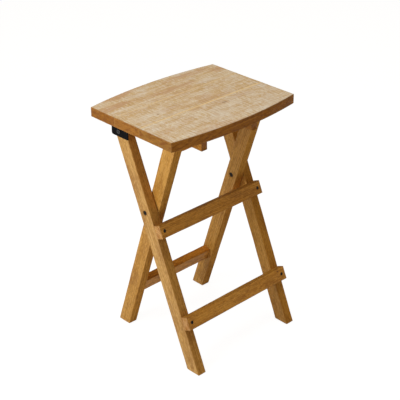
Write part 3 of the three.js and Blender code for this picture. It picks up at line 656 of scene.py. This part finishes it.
def noise(tree, vector, seed, detail, rough, scale=1.0):
    """Layers of soft noise between 0 and 1."""
    inputs = {"Vector": vector, "W": seed, "Scale": scale, "Detail": detail, "Roughness": rough}
    return node(tree, "TexNoise", inputs, noise_dimensions="4D")["Fac"]


def grain_noises(tree, own, seed, rows):
    """Noises in a board's own axes: a row has the counts in a metre, the seed's step, detail, rough."""
    return [noise(tree, stretched(tree, own, scale), seed + more, detail, rough)
            for *scale, more, detail, rough in rows]


def knotted(tree, own, colour, knots, squash, reach, ring, core):
    """Oval knots in a colour. Each knot is a place in the board's own axes, a size and a strength."""
    for place, size, strength in knots:
        from_knot = node(tree, "VectorMath", {0: own, 1: place}, operation="SUBTRACT")[0]
        oval = stretched(tree, from_knot, squash)
        far = node(tree, "VectorMath", {0: oval}, operation="LENGTH")["Value"]
        colour = layered(tree, colour, [(far, size * reach, size, 0.5 * strength, ring),
                                        (far, size, size * 0.5, strength, core)])
    return colour


def ended(material, tree, inputs, height, strength, distance):
    """Closes a material with the principled shader, its fixed numbers set on its own sockets."""
    bumps = node(tree, "Bump", {"Height": height, "Strength": strength, "Distance": distance})
    shader = node(tree, "BsdfPrincipled", {**inputs, "Normal": bumps[0]})
    node(tree, "OutputMaterial", {0: shader[0]})
    return material


def oiled_colour(tree, seed, tone, end_grain, knots, narrow_shade_tone):
    """Honey-coloured oiled wood with fibres, rings, dark hairs, flecks, mottling and knots.

    Saw cuts are blotched, arrises are worn lighter (the amber tone's dark arris is painted shade),
    and the narrow faces are tinted darker and more saturated as painted shade.
    """
    own = node(tree, "Attribute", attribute_name="board")["Vector"]
    fibres, hairs, flecks, clouds, blotches, pits = grain_noises(tree, own, seed, (
        (7, 330, 330, 0, 4, 0.62),
        (26, 1500, 1500, 3, 2, 0.5),
        (110, 340, 340, 29, 3, 0.6),
        (9, 26, 26, 7, 3, 0.5),
        (30, 60, 190, 23, 4, 0.6),
        (300, 300, 300, 5, 2, 0.55),
    ))
    ring = maths(tree, "FRACT", scaled(tree, fibres, 0.5, value_of(tree, "growth")))
    late = times(tree, spread(tree, ring, 0.35, 0.86), spread(tree, ring, 1.0, 0.9))
    pale, middle, deep, arris = tone
    colour = blend(tree, spread(tree, fibres, 0.36, 0.64), pale, middle)
    colour = blend(tree, times(tree, late, 0.4), colour, deep)
    colour = layered(tree, colour, [
        (clouds, 0.46, 0.68, 0.62, deep),
        (hairs, 0.56, 0.72, 0.45, HAIR_BROWN),
        (flecks, 0.5, 0.66, 0.6, deep),
        (flecks, 0.47, 0.34, 0.7, pale),
    ])
    colour = knotted(tree, own, colour, knots, (0.6, 1, 1), 2.6, KNOT_RING, KNOT_CORE)
    pores = layered(tree, end_grain, [
        (late, 0.0, 1.0, 0.5, deep),
        (blotches, 0.46, 0.64, 0.85, deep),
        (blotches, 0.46, 0.3, 0.6, pale),
        (pits, 0.5, 0.7, 0.4, deep),
    ])
    # Painted shade: the narrow faces are multiplied by a darker, more saturated tone
    narrow = blend(tree, value_of(tree, "narrow"), WHITE, narrow_shade_tone)
    colour = blend(tree, 1.0, colour, narrow, "MULTIPLY")
    colour = blend(tree, value_of(tree, "sawn"), colour, pores)
    # Arrises: worn lighter wood, or with the amber tone a dark line of painted shade
    arris_wear_and_shade = times(tree, value_of(tree, "arris"), spread(tree, clouds, 0.35, 0.6, 0.1, 0.4))
    colour = blend(tree, arris_wear_and_shade, colour, arris)
    return colour, own, fibres, hairs, late


def oiled_wood(name, seed, tone, end_grain, knots, narrow_shade_tone):
    """The material of all boards but the planks. Its narrow faces are duller."""
    material, tree = new_material(name)
    colour, _, fibres, hairs, late = oiled_colour(tree, seed, tone, end_grain, knots, narrow_shade_tone)
    dull = times(tree, value_of(tree, "narrow"), 0.35)
    rough = maths(tree, "ADD", spread(tree, fibres, 0.25, 0.75, 0.42, 0.58), dull)
    grain = scaled(tree, late, 0.35, scaled(tree, hairs, -0.5, fibres))
    inputs = {"Base Color": colour, "Roughness": rough, "Specular IOR Level": 0.22}
    return ended(material, tree, inputs, grain, 0.35, 0.25 * MM)


def plank_wood(name, seed, end_grain, washed, stained, knots):
    """The material of the seat's planks: oiled edges and a sawn top.

    Whitewash is left on the top in patches, strokes, streaks and specks, and chalk beside them. Over it
    lie the saw's scratches, wide stains, pale glue lines and a dark rim.
    """
    material, tree = new_material(name)
    edge_colour, own, fibres, hairs, late = oiled_colour(tree, seed, STAIN, end_grain, (), NARROW_SHADE_TONE)
    patches, strokes, streaks, specks, chalk, stains = grain_noises(tree, own, seed, (
        (22, 40, 40, 11, 4, 0.6),
        (260, 26, 26, 13, 4, 0.7),
        (6, 100, 100, 17, 4, 0.6),
        (260, 330, 330, 19, 2, 0.6),
        (300, 90, 90, 31, 3, 0.6),
        (10, 38, 38, 37, 2, 0.5),
    ))
    bare = blend(tree, spread(tree, streaks, 0.38, 0.62), BARE_PALE, BARE_DEEP)
    bare = blend(tree, times(tree, late, 0.25), bare, BARE_RING)
    worn = scaled(tree, strokes, 1.2, scaled(tree, patches, 0.9, washed))
    worn = scaled(tree, specks, 0.8, scaled(tree, streaks, -0.55, worn))
    wash = spread(tree, worn, 0.44, 1.0, 0.05, 0.85)
    top = blend(tree, wash, bare, WHITEWASH)
    dark = times(tree, spread(tree, strokes, 0.5, 0.38), spread(tree, patches, 0.56, 0.4))
    top = blend(tree, times(tree, dark, 0.35), top, DARK_STROKE)
    top = blend(tree, times(tree, value_of(tree, "scratch"), 0.42), top, SCRATCH)
    top = layered(tree, top, [
        (chalk, 0.53, 0.64, 0.48, CHALK),
        (chalk, 0.46, 0.36, 0.26, CHALK_GAP),
        (stains, 0.5, 0.66, 0.6 * stained, WARM_STAIN),
        (stains, 0.49, 0.36, 0.36 * stained, PALE_STAIN),
    ])
    top = blend(tree, value_of(tree, "seam"), top, SEAM)
    top = knotted(tree, own, top, knots, (0.5, 1, 0), 2.2, TOP_KNOT_RING, TOP_KNOT_CORE)
    top = blend(tree, times(tree, value_of(tree, "rim"), 0.8), top, RIM)
    colour = blend(tree, value_of(tree, "top"), edge_colour, top)
    rough = spread(tree, wash, 0.0, 1.0, 0.55, 0.8)
    grain = scaled(tree, strokes, 0.8, scaled(tree, hairs, -0.4, fibres))
    inputs = {"Base Color": colour, "Roughness": rough, "Specular IOR Level": 0.2}
    return ended(material, tree, inputs, grain, 0.4, 0.3 * MM)


def plain_finish(name, base, other, rough, metallic, size, bump, specular):
    """Painted or bare steel and plastic: two near colours in coarse noise, with a fine surface."""
    material, tree = new_material(name)
    own = node(tree, "TexCoord")["Object"]
    fine = noise(tree, own, 1.0, 3, 0.6, size)
    coarse = noise(tree, own, 5.0, 3, 0.5, size * 0.12)
    colour = blend(tree, spread(tree, coarse, 0.35, 0.7), paint(*base), paint(*other))
    roughness = spread(tree, fine, 0.2, 0.8, rough - 0.07, rough + 0.09)
    inputs = {"Base Color": colour, "Roughness": roughness, "Metallic": metallic,
              "Specular IOR Level": specular}
    return ended(material, tree, inputs, fine, bump, 0.08 * MM)


# For each slot: the finish's name, its two colours, roughness, metal, size of the noise, bump, specular
FINISHES = {slot: plain_finish(*look) for slot, look in {
    "black_steel": ("black_powder_coat", (11, 10, 11), (17, 16, 17), 0.5, 0.0, 1400, 0.25, 0.03),
    "dark_steel": ("browned_steel", (50, 42, 32), (33, 28, 22), 0.45, 0.8, 900, 0.1, 0.2),
    "bright_steel": ("zinc_plated_steel", (70, 70, 70), (52, 51, 50), 0.36, 1.0, 900, 0.1, 0.5),
    "nylon": ("pale_nylon", (217, 212, 198), (204, 198, 182), 0.5, 0.0, 700, 0.1, 0.5),
    "glide_plastic": ("brown_glide_plastic", (48, 39, 34), (38, 31, 27), 0.6, 0.0, 700, 0.1, 0.5),
    "dowel_wood": ("beech_dowel", (216, 182, 130), (196, 158, 104), 0.7, 0.0, 500, 0.1, 0.5),
}.items()}


# Fitting

def make_board(name, node_name, body, lie, limits, cuts, half, length, cutters, tone,
               end_grain=PALE_END, knots=(), narrow_shade_tone=NARROW_SHADE_TONE, ease=LEG_EASE, g=None):
    """Makes a board of oiled wood with its bores and fits it. Its steps along are set by the length."""
    seed, grain = SEEDS[name]
    g = shares(limits[1] - limits[0], BOARD_STEP) if g is None else g
    points, faces = board_surface(limits, *cuts, half, ease, g, shares(length, BOARD_STEP), seed)
    middle = np.array([0, (limits[0] + limits[1]) / 2, 0])
    local = plane_waves(points - middle, (limits[1] - limits[0]) / 2, half, seed) + middle
    piece = solid(name, lie.out(local), faces)
    carve(piece, cutters)
    board_values(piece, lie, limits, *cuts, half, seed)
    wood = oiled_wood(name + "_wood", grain, tone, end_grain, knots, narrow_shade_tone)
    fit(piece, node_name, body, wood)


def fit_turned(name, shape, place, direction, node_name, slot, body="outer_frame"):
    """Fits a turned shape for a node, its Z axis in the direction and its zero plane at the place."""
    points, faces = shape
    piece = solid(name, aimed(points, place, direction), faces)
    fit(piece, node_name, body, FINISHES[slot])


# The seat

def bowed_edge(sign):
    """The seat's long edge: a parabola that stands SEAT_BOW proud in the middle of its length."""
    def edge(x, inset):
        bow = SEAT_BOW * (1 - (x / SEAT_HALF_LENGTH) ** 2)
        return SEAT_MIDDLE_Y + sign * (SEAT_HALF_DEPTH + bow - inset)
    return edge


def saw_lines(x, y, seed):
    """The saw's scratches across a plank, from 0 to 1.

    They are the fourth power of waves a little askew along the seat, and fade in and out over patches.
    """
    drift = 0.3 * SAW_PITCH * ripple(seed, x, y, 130 * MM, 50 * MM)
    mark = (0.5 + 0.5 * np.sin(2 * np.pi * (x + 0.05 * y + drift) / SAW_PITCH)) ** 4
    return mark * swell(seed + 1, x, y, 50 * MM, 30 * MM)


def saw_marks(x, y, seed):
    """How deep the sawn top lies, from 0 to 1: the scratches, wider waves, the grain and slow hollows."""
    sway = 2 * ripple(seed + 4, x, y, 90 * MM, 50 * MM)
    wide = 0.5 + 0.5 * np.sin(2 * np.pi * (x - 0.03 * y) / (1.7 * SAW_PITCH) + sway)
    grain = swell(seed + 2, x, y, 160 * MM, 9 * MM)
    hollow = swell(seed + 3, x, y, 130 * MM, 60 * MM)
    return 0.46 * saw_lines(x, y, seed) + 0.2 * wide + 0.16 * grain + 0.18 * hollow


def seat_screws(side):
    """The nodes of one side's screws up into the planks: the batten's three, then the bracket's."""
    return [f"{kind}_screw_{side}_{number}" for kind in ("batten", "bracket") for number in (1, 2, 3)]


def make_plank(place, low, high, depth, joints, end_grain, washed, stained, knots):
    """A plank of the seat: a board whose along is the stool's Y and whose across is X.

    Its top sinks by SAW_DEPTH times the saw marks and its ends by up to END_WAVE. Its glued edges are
    nearly sharp.
    """
    name = "sawn_plank_" + place
    seed, grain = SEEDS[name]
    glued_low, glued_high = place != "front", place != "rear"

    def sharper(h):
        near_joint = glued_low * smooth(h, 0.04, 0.0) + glued_high * smooth(h, 0.96, 1.0)
        return 1 - 0.72 * near_joint

    half = SEAT_THICKNESS / 2
    lie = Lie((0, 0, SEAT_UNDERSIDE + half), (0, 1, 0), (1, 0, 0), UP)
    limits = (-SEAT_HALF_LENGTH, SEAT_HALF_LENGTH)
    g, h = shares(2 * SEAT_HALF_LENGTH, SEAT_STEP), shares(depth, SEAT_STEP)
    points, faces = board_surface(limits, low, high, half, SEAT_EASE, g, h, seed, sharper=sharper)
    y, x, z = points.T
    z = z - smooth(z, -half, half) * SAW_DEPTH * saw_marks(x, y, seed)
    x = x * (1 - END_WAVE * swell(seed + 5, y, z, 40 * MM, 30 * MM) / SEAT_HALF_LENGTH)
    piece = solid(name, lie.out(np.stack([y, x, z], -1)), faces)
    screws = [middle_of(screw)[:2] for side, _ in SIDES for screw in seat_screws(side)]
    carve(piece, [bore((x, y, SEAT_UNDERSIDE), UP, PLANK_SCREW_BORE)
                  for x, y in screws if low(x, 0) < y < high(x, 0)])

    y, x, z = lie.back(places_of(piece)).T
    to_edge = np.minimum(y - low(x, 0), high(x, 0) - y)
    to_end = SEAT_HALF_LENGTH - np.abs(x)
    to_face = half - np.abs(z)
    to_rim = np.minimum(to_end, np.minimum(y - bowed_edge(-1)(x, 0), bowed_edge(1)(x, 0) - y))
    uncut = z + SAW_DEPTH * saw_marks(x, y, seed)
    seam = sum(share * bell(np.abs(y - joint), SEAM_WIDTH) for joint, share in joints)
    seam = seam * (0.8 + 0.2 * ripple(seed + 8, x, y, 70 * MM, 30 * MM))
    own = np.stack([x, y - SEAT_MIDDLE_Y, z], -1)
    keep_values(piece, **surface_values(own, to_edge, to_end, to_face, PLANK_ARRIS, seed),
                rim=bell(to_rim, PLANK_ARRIS), scratch=saw_lines(x, y, seed), seam=np.clip(seam, 0, 1),
                top=smooth(uncut, half - 0.5 * MM, half - 0.1 * MM))
    wood = plank_wood(name + "_wood", grain, end_grain, washed, stained, knots)
    fit(piece, "seat_plank_" + place, "seat", wood)


def make_seat():
    """The three planks: their edges, depth, glue lines, end grain, whitewash, stains and knots."""
    front_line, rear_line = (FRONT_JOINT_Y, 1), (REAR_JOINT_Y, 0.5)
    make_plank("front", bowed_edge(-1), square_cut(FRONT_JOINT_Y, -1, 0.7), 118 * MM, [front_line],
               FRONT_END, -0.47, 0.45, [((0.045, -0.057, 0), 5 * MM, 0.4)])
    make_plank("middle", square_cut(FRONT_JOINT_Y, 1, 0.7), square_cut(REAR_JOINT_Y, -1, 0.7), 85 * MM,
               [front_line, rear_line], MIDDLE_END, -0.56, 0.5,
               [((-0.1146, -0.002, 0), 1.8 * MM, 0.8)])
    make_plank("rear", square_cut(REAR_JOINT_Y, 1, 0.7), bowed_edge(1), 98 * MM, [rear_line],
               REAR_END, -0.59, 1.0, [((0.021, 0.112, 0), 1.5 * MM, 0.6)])


def make_batten(side):
    """A batten on edge: a plain board, its notch for the top bar sawn out, its screw holes bored."""
    node_name = "seat_batten_" + side
    a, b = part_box(node_name)
    x = middle_of(node_name)[0]
    half = BATTEN_THICKNESS / 2
    notch = NOTCH + [SEAT_MIDDLE_Y, 0]
    notch[[0, 3]] += (notch[[0, 3]] - notch[[1, 2]]) * 0.3
    prism = np.array([[x + s * 1.5 * half, y, z] for s in (-1, 1) for y, z in notch])
    sides = [[k, (k + 1) % 4, (k + 1) % 4 + 4, k + 4] for k in range(4)]
    cutters = [(prism, [np.array(sides + [[3, 2, 1, 0], [4, 5, 6, 7]])])]
    for screw in seat_screws(side)[:3]:
        cutters.append(bore((x, middle_of(screw)[1], BATTEN_BOTTOM), UP, BATTEN_SCREW_BORE))
    lie = Lie((x, 0, 0), (0, 1, 0), UP, X_AXIS)
    cuts = square_cut(a.y, 1), square_cut(b.y, -1)
    # The battens' amber tone and dark end grain are painted shade: darker wood where the seat's underside
    # shades them
    make_board("notched_batten_" + side, node_name, "seat", lie, (BATTEN_BOTTOM, SEAT_UNDERSIDE), cuts,
               half, b.y - a.y, cutters, AMBER, end_grain=BATTEN_SHADE_END, ease=BATTEN_EASE)


def make_bracket(side, sign):
    """A hinge bracket bent from plate, flat from the upright's foot to the flange's edge.

    Past the upright it follows an arc about the bend's centre: x = centre - (radius + w) cos a and
    z = centre + (radius + w) sin a, with a the length over the radius and w the distance out from the
    plate's middle. Then it runs level.
    """
    node_name = "hinge_bracket_" + side
    a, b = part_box(node_name)
    half, radius = BRACKET_THICKNESS / 2, BRACKET_BEND
    foot, top = a.z, b.z
    inner = min(abs(a.x), abs(b.x))
    edge_x = max(abs(a.x), abs(b.x))
    centre_x, centre_z = inner + half + radius, top - half - radius
    straight, arc = centre_z - foot, radius * math.pi / 2
    length = straight + arc + edge_x - centre_x

    def rounded_corners(y, inset, front, rear):
        """How far the plate's end draws back near its two corners: each is a quarter circle."""
        def dip(radius, distance):
            radius = radius - inset
            short = np.clip(radius + inset - distance, 0, radius)
            return radius - np.sqrt(np.maximum(radius ** 2 - short ** 2, 0))
        return dip(front, y - a.y) + dip(rear, b.y - y)

    def low(y, inset):
        return inset + rounded_corners(y, inset, 2.5 * MM, 5 * MM)

    def high(y, inset):
        return length - inset - rounded_corners(y, inset, 4 * MM, 4 * MM)

    curve = 1 - np.cos(np.linspace(0, np.pi / 2, 9))
    near = curve * 5.2 * MM / (b.y - a.y)
    g = np.concatenate([near, np.linspace(near[-1], 1 - near[-1], 26)[1:-1], 1 - near[::-1]])
    h = shares(length, BRACKET_STEP)
    points, faces = board_surface((a.y, b.y), low, high, half, 0.45 * MM, g, h, 71, wander=0.1)
    along, y, w = points.T
    angle = np.clip((along - straight) / radius, 0, math.pi / 2)
    level = np.maximum(along - straight - arc, 0)
    x = centre_x - (radius + w) * np.cos(angle) + level
    z = foot + np.minimum(along, straight) + (radius + w) * np.sin(angle)
    piece = solid("bent_bracket_" + side, np.stack([sign * x, y, z], -1), faces)
    cutters = [bore(on_axis(HINGE, sign, inner), (sign, 0, 0), BRACKET_BOLT_BORE)]
    for screw in seat_screws(side)[3:]:
        cutters.append(bore((*middle_of(screw)[:2], top), DOWN, BRACKET_SCREW_BORE))
    carve(piece, cutters)
    fit(piece, node_name, "seat", FINISHES["black_steel"])


def make_seat_screws(side):
    """Screws up into the planks: the head hangs at the bottom of its node's box."""
    head = SEAT_SCREW[1] * MM
    for node_name in seat_screws(side):
        a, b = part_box(node_name)
        x, y, _ = middle_of(node_name)
        fit_turned("turned_" + node_name, bolt(SEAT_SCREW, b.z - a.z - head), (x, y, a.z + head), DOWN,
                   node_name, "dark_steel", "seat")


# The legs and the outer frame

def leg_lie(sign, outside, up, rear):
    """How a leg lies, its origin level with the pivot in the middle of its thickness."""
    return Lie((sign * (outside - LEG_THICKNESS / 2), PIVOT[1], PIVOT[2]), up, rear, X_AXIS)


def foot_bore(lie):
    """The bore for a glide's stem, where a leg's middle line meets its level foot."""
    up = lie.axes[0]
    return bore(lie.origin + up * (FOOT_LEVEL - PIVOT[2]) / up[2], UP, STEM_BORE)


def make_leg(kind, side, lie, cuts, length, cutters, tone, narrow_shade_tone=NARROW_SHADE_TONE, g=None):
    """Makes and fits a leg of the outer or the inner frame."""
    make_board(f"oiled_{kind}_leg_{side}", f"{kind}_leg_{side}", kind + "_frame", lie,
               (-LEG_HALF_WIDTH, LEG_HALF_WIDTH), cuts, LEG_THICKNESS / 2, length, cutters, tone,
               narrow_shade_tone=narrow_shade_tone, g=g)


def make_outer_leg(side, sign):
    """An outer leg: its top is rounded about the hinge, and its grid is finer near its edges."""
    lie = leg_lie(sign, OUTER_FACE, OUTER_UP, OUTER_REAR)

    def round_top(across, inset):
        """A half circle about the hinge."""
        return HINGE_REACH + np.sqrt(np.maximum((LEG_HALF_WIDTH - inset) ** 2 - across ** 2, 0))

    cutters = [
        bore(on_axis(PIVOT, sign, OUTER_FACE), (-sign, 0, 0), PIVOT_HEAD_BORE),
        bore(on_axis(HINGE, sign, OUTER_INSIDE), (sign, 0, 0), HINGE_NUT_BORE),
        foot_bore(lie),
    ]
    for middle in RAIL_MIDDLES.values():
        cutters.append(bore(lie.out([middle, -LEG_HALF_WIDTH, 0]), OUTER_REAR, LEG_SCREW_BORE))
    make_leg("outer", side, lie, (level_cut(OUTER_LEAN, FOOT_LEVEL, 1), round_top),
             HINGE_REACH + PIVOT[2] / math.cos(OUTER_LEAN), cutters, {"left": PALE, "right": HONEY}[side],
             g=0.5 + 0.5 * np.sin(np.linspace(-np.pi / 2, np.pi / 2, 27)))


def make_front_rail(level, name, node_name, knots):
    """A flat rail on the front edges of the outer legs, with the screw through each of its ends."""
    middle = RAIL_MIDDLES[level]
    half = RAIL_THICKNESS / 2
    screw_x = OUTER_FACE - LEG_THICKNESS / 2
    origin = PIVOT * [0, 1, 1] + OUTER_REAR * (RAIL_BACK + RAIL_FRONT) / 2
    lie = Lie(origin, X_AXIS, OUTER_UP, OUTER_REAR)
    cutters = [bore(lie.out([sign * screw_x, middle, -half]), OUTER_REAR, RAIL_SCREW_BORE)
               for _, sign in SIDES]
    limits = middle - RAIL_WIDTH / 2, middle + RAIL_WIDTH / 2
    cuts = square_cut(-OUTER_FACE, 1, 0.7), square_cut(OUTER_FACE, -1, 0.7)
    # The dusky tone is painted shade on the rail's top and bottom, and the amber arris a painted dark
    # line along its edges
    make_board(name, node_name, "outer_frame", lie, limits, cuts, half, 2 * OUTER_FACE, cutters, AMBER,
               knots=knots, narrow_shade_tone=DUSKY_SHADE_TONE)
    shape = bolt(RAIL_SCREW, 41.8 * MM)
    for side, sign in SIDES:
        place = lie.out([sign * screw_x, middle, 3.05 * MM - half])
        screw = f"{level}_rail_screw_{side}"
        fit_turned("turned_" + screw, shape, place, -OUTER_REAR, screw, "dark_steel")


def sleeve_nut():
    """A sleeve nut up the Z axis: a rounded flange with a six-sided socket, on a bored barrel.

    The outline runs from the socket's floor over the flange, down the barrel and up inside it.
    """
    socket = six_sided(2.3 * MM)
    head, height, lip, burr = 6 * MM, 2.5 * MM, 0.25 * MM, 0.2 * MM
    barrel, length, ease = 4.5 * MM, 13.3 * MM, 0.3 * MM
    return turned([
        (0, height - 1.8 * MM), (socket, height - 1.5 * MM), (socket, height - lip),
        (socket + lip, height), *rounded(head, height, 1.1 * MM)[::-1],
        (head, burr), (head - burr, 0), (barrel, 0),
        (barrel, ease - length), (barrel - ease, -length), (BOLT_HOLE, -length),
        (BOLT_HOLE, -ease), (0, -ease),
    ])


def make_fasteners(side, sign):
    """Fits what sits on the two hinges' axes, facing out or, with -1, in.

    On the pivot's are a sunk bolt head outside, a sleeve nut inside and the spacer between the legs.
    On the hinge's are the bolt through bracket and leg, its nut sunk in the leg's inside, and a washer.
    """
    pivot_seat, sleeve_seat = OUTER_FACE - 3.55 * MM, INNER_INSIDE + 3.7 * MM
    spacer_seat = INNER_FACE + FREE_GAP
    hinge_seat, nut_seat = OUTER_FACE + 3.9 * MM, OUTER_INSIDE + 1 * MM
    pivot_bolt = bolt(PIVOT_BOLT, pivot_seat - sleeve_seat - FREE_GAP)
    spacer = washer(BOLT_HOLE, 11 * MM, OUTER_INSIDE - spacer_seat, 0.3 * MM)
    hinge_bolt = bolt(HINGE_BOLT, hinge_seat - nut_seat)
    hinge_nut = nut(BOLT_HOLE, 5.8 * MM, 4.85 * MM)
    ring = washer(BOLT_HOLE, 8 * MM, 0.65 * MM, 0.15 * MM)
    dark, bright = "dark_steel", "bright_steel"
    for axis, name, node_name, slot, x, way, shape in (
        (PIVOT, "turned_pivot_bolt_", "pivot_bolt_", dark, pivot_seat, 1, pivot_bolt),
        (PIVOT, "turned_pivot_sleeve_", "pivot_nut_", dark, sleeve_seat - FREE_GAP, -1, sleeve_nut()),
        (PIVOT, "moulded_spacer_", "pivot_spacer_", "nylon", spacer_seat, 1, spacer),
        (HINGE, "turned_hinge_bolt_", "hinge_bolt_", bright, hinge_seat, 1, hinge_bolt),
        (HINGE, "turned_hinge_nut_", "hinge_nut_", bright, nut_seat, 1, hinge_nut),
        (HINGE, "pressed_hinge_washer_", "hinge_washer_", bright, OUTER_FACE + SEATED_GAP, 1, ring),
    ):
        place, direction = on_axis(axis, sign, x), (way * sign, 0, 0)
        fit_turned(name + side, shape, place, direction, node_name + side, slot)


# The inner frame

def dowel_bores(kind, side, sign, inward):
    """Bores for the dowels of a bar, from where they cross the inside face of an inner leg."""
    places = [middle_of(f"{kind}_dowel_{side}_{number}") for number in (1, 2)]
    return [bore(on_axis(place, sign, INNER_INSIDE), inward, DOWEL_BORE) for place in places]


def make_inner_leg(side, sign):
    """An inner leg: both its ends are sawn level, and it is bored for the sleeve nut and the dowels."""
    lie = leg_lie(sign, INNER_FACE, INNER_UP, INNER_REAR)
    outward = (sign, 0, 0)
    cuts = level_cut(-INNER_LEAN, FOOT_LEVEL, 1), level_cut(-INNER_LEAN, SEAT_UNDERSIDE - FREE_GAP, -1)
    cutters = [
        bore(on_axis(PIVOT, sign, INNER_INSIDE), outward, PIVOT_SLEEVE_BORE),
        foot_bore(lie),
        *dowel_bores("top_bar", side, sign, outward),
        *dowel_bores("rear_rail", side, sign, outward),
    ]
    # The inner tone is painted shade: a more saturated colour on the leg's narrow faces
    make_leg("inner", side, lie, cuts, (SEAT_UNDERSIDE - FOOT_LEVEL) / math.cos(INNER_LEAN), cutters,
             HONEY, INNER_NARROW_SHADE_TONE)


def make_inner_bar(kind, across, through):
    """The top bar or the rear rail, between the inner legs, bored for two dowels at each end."""
    node_name = "inner_" + kind
    cutters = []
    for side, sign in SIDES:
        cutters += dowel_bores(kind, side, sign, (-sign, 0, 0))
    lie = Lie(middle_of(node_name), X_AXIS, across, through)
    cuts = square_cut(-INNER_INSIDE, 1, 0.25), square_cut(INNER_INSIDE, -1, 0.25)
    make_board("oiled_" + kind, node_name, "inner_frame", lie, (-RAIL_WIDTH / 2, RAIL_WIDTH / 2), cuts,
               RAIL_THICKNESS / 2, 2 * INNER_INSIDE, cutters, AMBER)


def make_glide(node_name, body):
    """A round glide: a flat disc with an eased rim, and its stem up in the foot."""
    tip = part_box(node_name)[1].z
    x, y, _ = middle_of(node_name)
    radius, top, stem = 9 * MM, 1.35 * MM, 2.5 * MM
    ease, rim = 0.5 * MM, 0.3 * MM
    flat = radius - ease
    rings = [(0, 0), (flat, 0)]
    rings += [(flat + ease * math.sin(t), ease * (1 - math.cos(t))) for t in np.linspace(0.3, 1.57, 4)]
    rings += [(radius, top - rim), (radius - rim, top), (stem, top), (stem, tip - ease)]
    rings += [(stem - ease, tip), (0, tip)]
    fit_turned("turned_" + node_name, turned(rings), (x, y, 0), UP, node_name, "glide_plastic", body)


# The room

FLOOR_HALF = 9
FLOOR_DROP = 0.2 * MM
FLOOR_COLOUR = (0.8, 0.8, 0.8, 1)
FLOOR_GLOW = 0.93
SHADOW_COLOUR = (0.2, 0.2, 0.2, 1)
WORLD_STRENGTH = 0.24
WORLD_TINT = (1, 0.86, 0.64, 1)
LAMP_AIM = Vector((0, 0, 0.35))
CAMERA_PLACE = Vector((-1.67454, -1.73412, 1.63205))
CAMERA_AIM = Vector((0.0588, 0.05781, 0.30793))
CAMERA_LENS = 100.29


def linked(name, data, place=(0, 0, 0), aim=None):
    """An object in the scene at a place, its view turned to an aim."""
    thing = bpy.data.objects.new(name, data)
    thing.location = place
    if aim is not None:
        thing.rotation_euler = (aim - Vector(place)).to_track_quat("-Z", "Y").to_euler()
    bpy.context.scene.collection.objects.link(thing)
    return thing


def seen_directly(tree):
    """1 for rays that come from the camera, a gloss or a clear surface."""
    path = node(tree, "LightPath")
    seen = maths(tree, "MAXIMUM", path["Is Camera Ray"], path["Is Glossy Ray"])
    return maths(tree, "MAXIMUM", seen, path["Is Transmission Ray"])


def make_floor():
    """A pale floor that the camera sees as white with the stool's shadow left on it."""
    far = FLOOR_HALF
    corners = [(x, y, -FLOOR_DROP) for x, y in ((-far, -far), (far, -far), (far, far), (-far, far))]
    mesh = bpy.data.meshes.new("floor")
    mesh.from_pydata(corners, [], [(0, 1, 2, 3)])
    linked("floor", mesh)
    material, tree = new_material("pale_floor")
    plain = node(tree, "BsdfDiffuse", {"Color": FLOOR_COLOUR})
    glow = node(tree, "Emission", {"Color": WHITE, "Strength": FLOOR_GLOW})
    shadow = node(tree, "BsdfDiffuse", {"Color": SHADOW_COLOUR})
    shown = node(tree, "AddShader", {0: glow[0], 1: shadow[0]})
    mixed = node(tree, "MixShader", {0: seen_directly(tree), 1: plain[0], 2: shown[0]})
    node(tree, "OutputMaterial", {0: mixed[0]})
    mesh.materials.append(material)


def make_world():
    """A surround that looks white and lights the stool with a weak warm light."""
    world = bpy.data.worlds.new("studio")
    tree = cleared(world)
    seen = seen_directly(tree)
    strength = spread(tree, seen, 0.0, 1.0, WORLD_STRENGTH, 1.0)
    tint = blend(tree, seen, WORLD_TINT, WHITE)
    surround = node(tree, "Background", {"Color": tint, "Strength": strength})
    node(tree, "OutputWorld", {0: surround[0]})
    bpy.context.scene.world = world


def make_lamp(name, place, size, power, colour):
    """A square soft lamp that faces the middle of the stool."""
    data = bpy.data.lights.new(name, "AREA")
    data.shape = "SQUARE"
    data.size = size
    data.energy = power
    data.color = colour
    linked(name, data, place, LAMP_AIM)


def make_camera():
    """The photograph's view."""
    data = bpy.data.cameras.new("view")
    data.sensor_width = 36
    data.lens = CAMERA_LENS
    bpy.context.scene.camera = linked("view", data, CAMERA_PLACE, CAMERA_AIM)


# The whole stool

LOWER_KNOT = ((145.5 * MM, RAIL_MIDDLES["lower"] + 11 * MM, -RAIL_THICKNESS / 2), 1.3 * MM, 0.9)

make_camera()
make_floor()
make_world()
make_lamp("side_lamp", (-1.5, 0.15, 0.95), 0.9, 14.8, (1.0, 1.0, 1.04))
make_lamp("top_lamp", (0.0, 0.0, 2.9), 1.6, 25, (1.0, 1.0, 1.0))
make_seat()
make_front_rail("upper", "oiled_upper_footrest", "upper_footrest_rail", ())
make_front_rail("lower", "oiled_lower_rail", "lower_front_rail", (LOWER_KNOT,))
for side, sign in SIDES:
    make_outer_leg(side, sign)
    make_inner_leg(side, sign)
    make_batten(side)
    make_bracket(side, sign)
    make_seat_screws(side)
    make_fasteners(side, sign)
    make_glide("front_glide_" + side, "outer_frame")
    make_glide("rear_glide_" + side, "inner_frame")
make_inner_bar("top_bar", INNER_REAR, INNER_UP)
make_inner_bar("rear_rail", INNER_UP, INNER_REAR)
for node_name, cad_piece in frame["nodes"].items():
    if "_dowel_" in node_name:
        cad_piece.data.materials.clear()
        cad_piece.data.materials.append(FINISHES["dowel_wood"])

bpy.context.scene.view_settings.view_transform = "Standard"
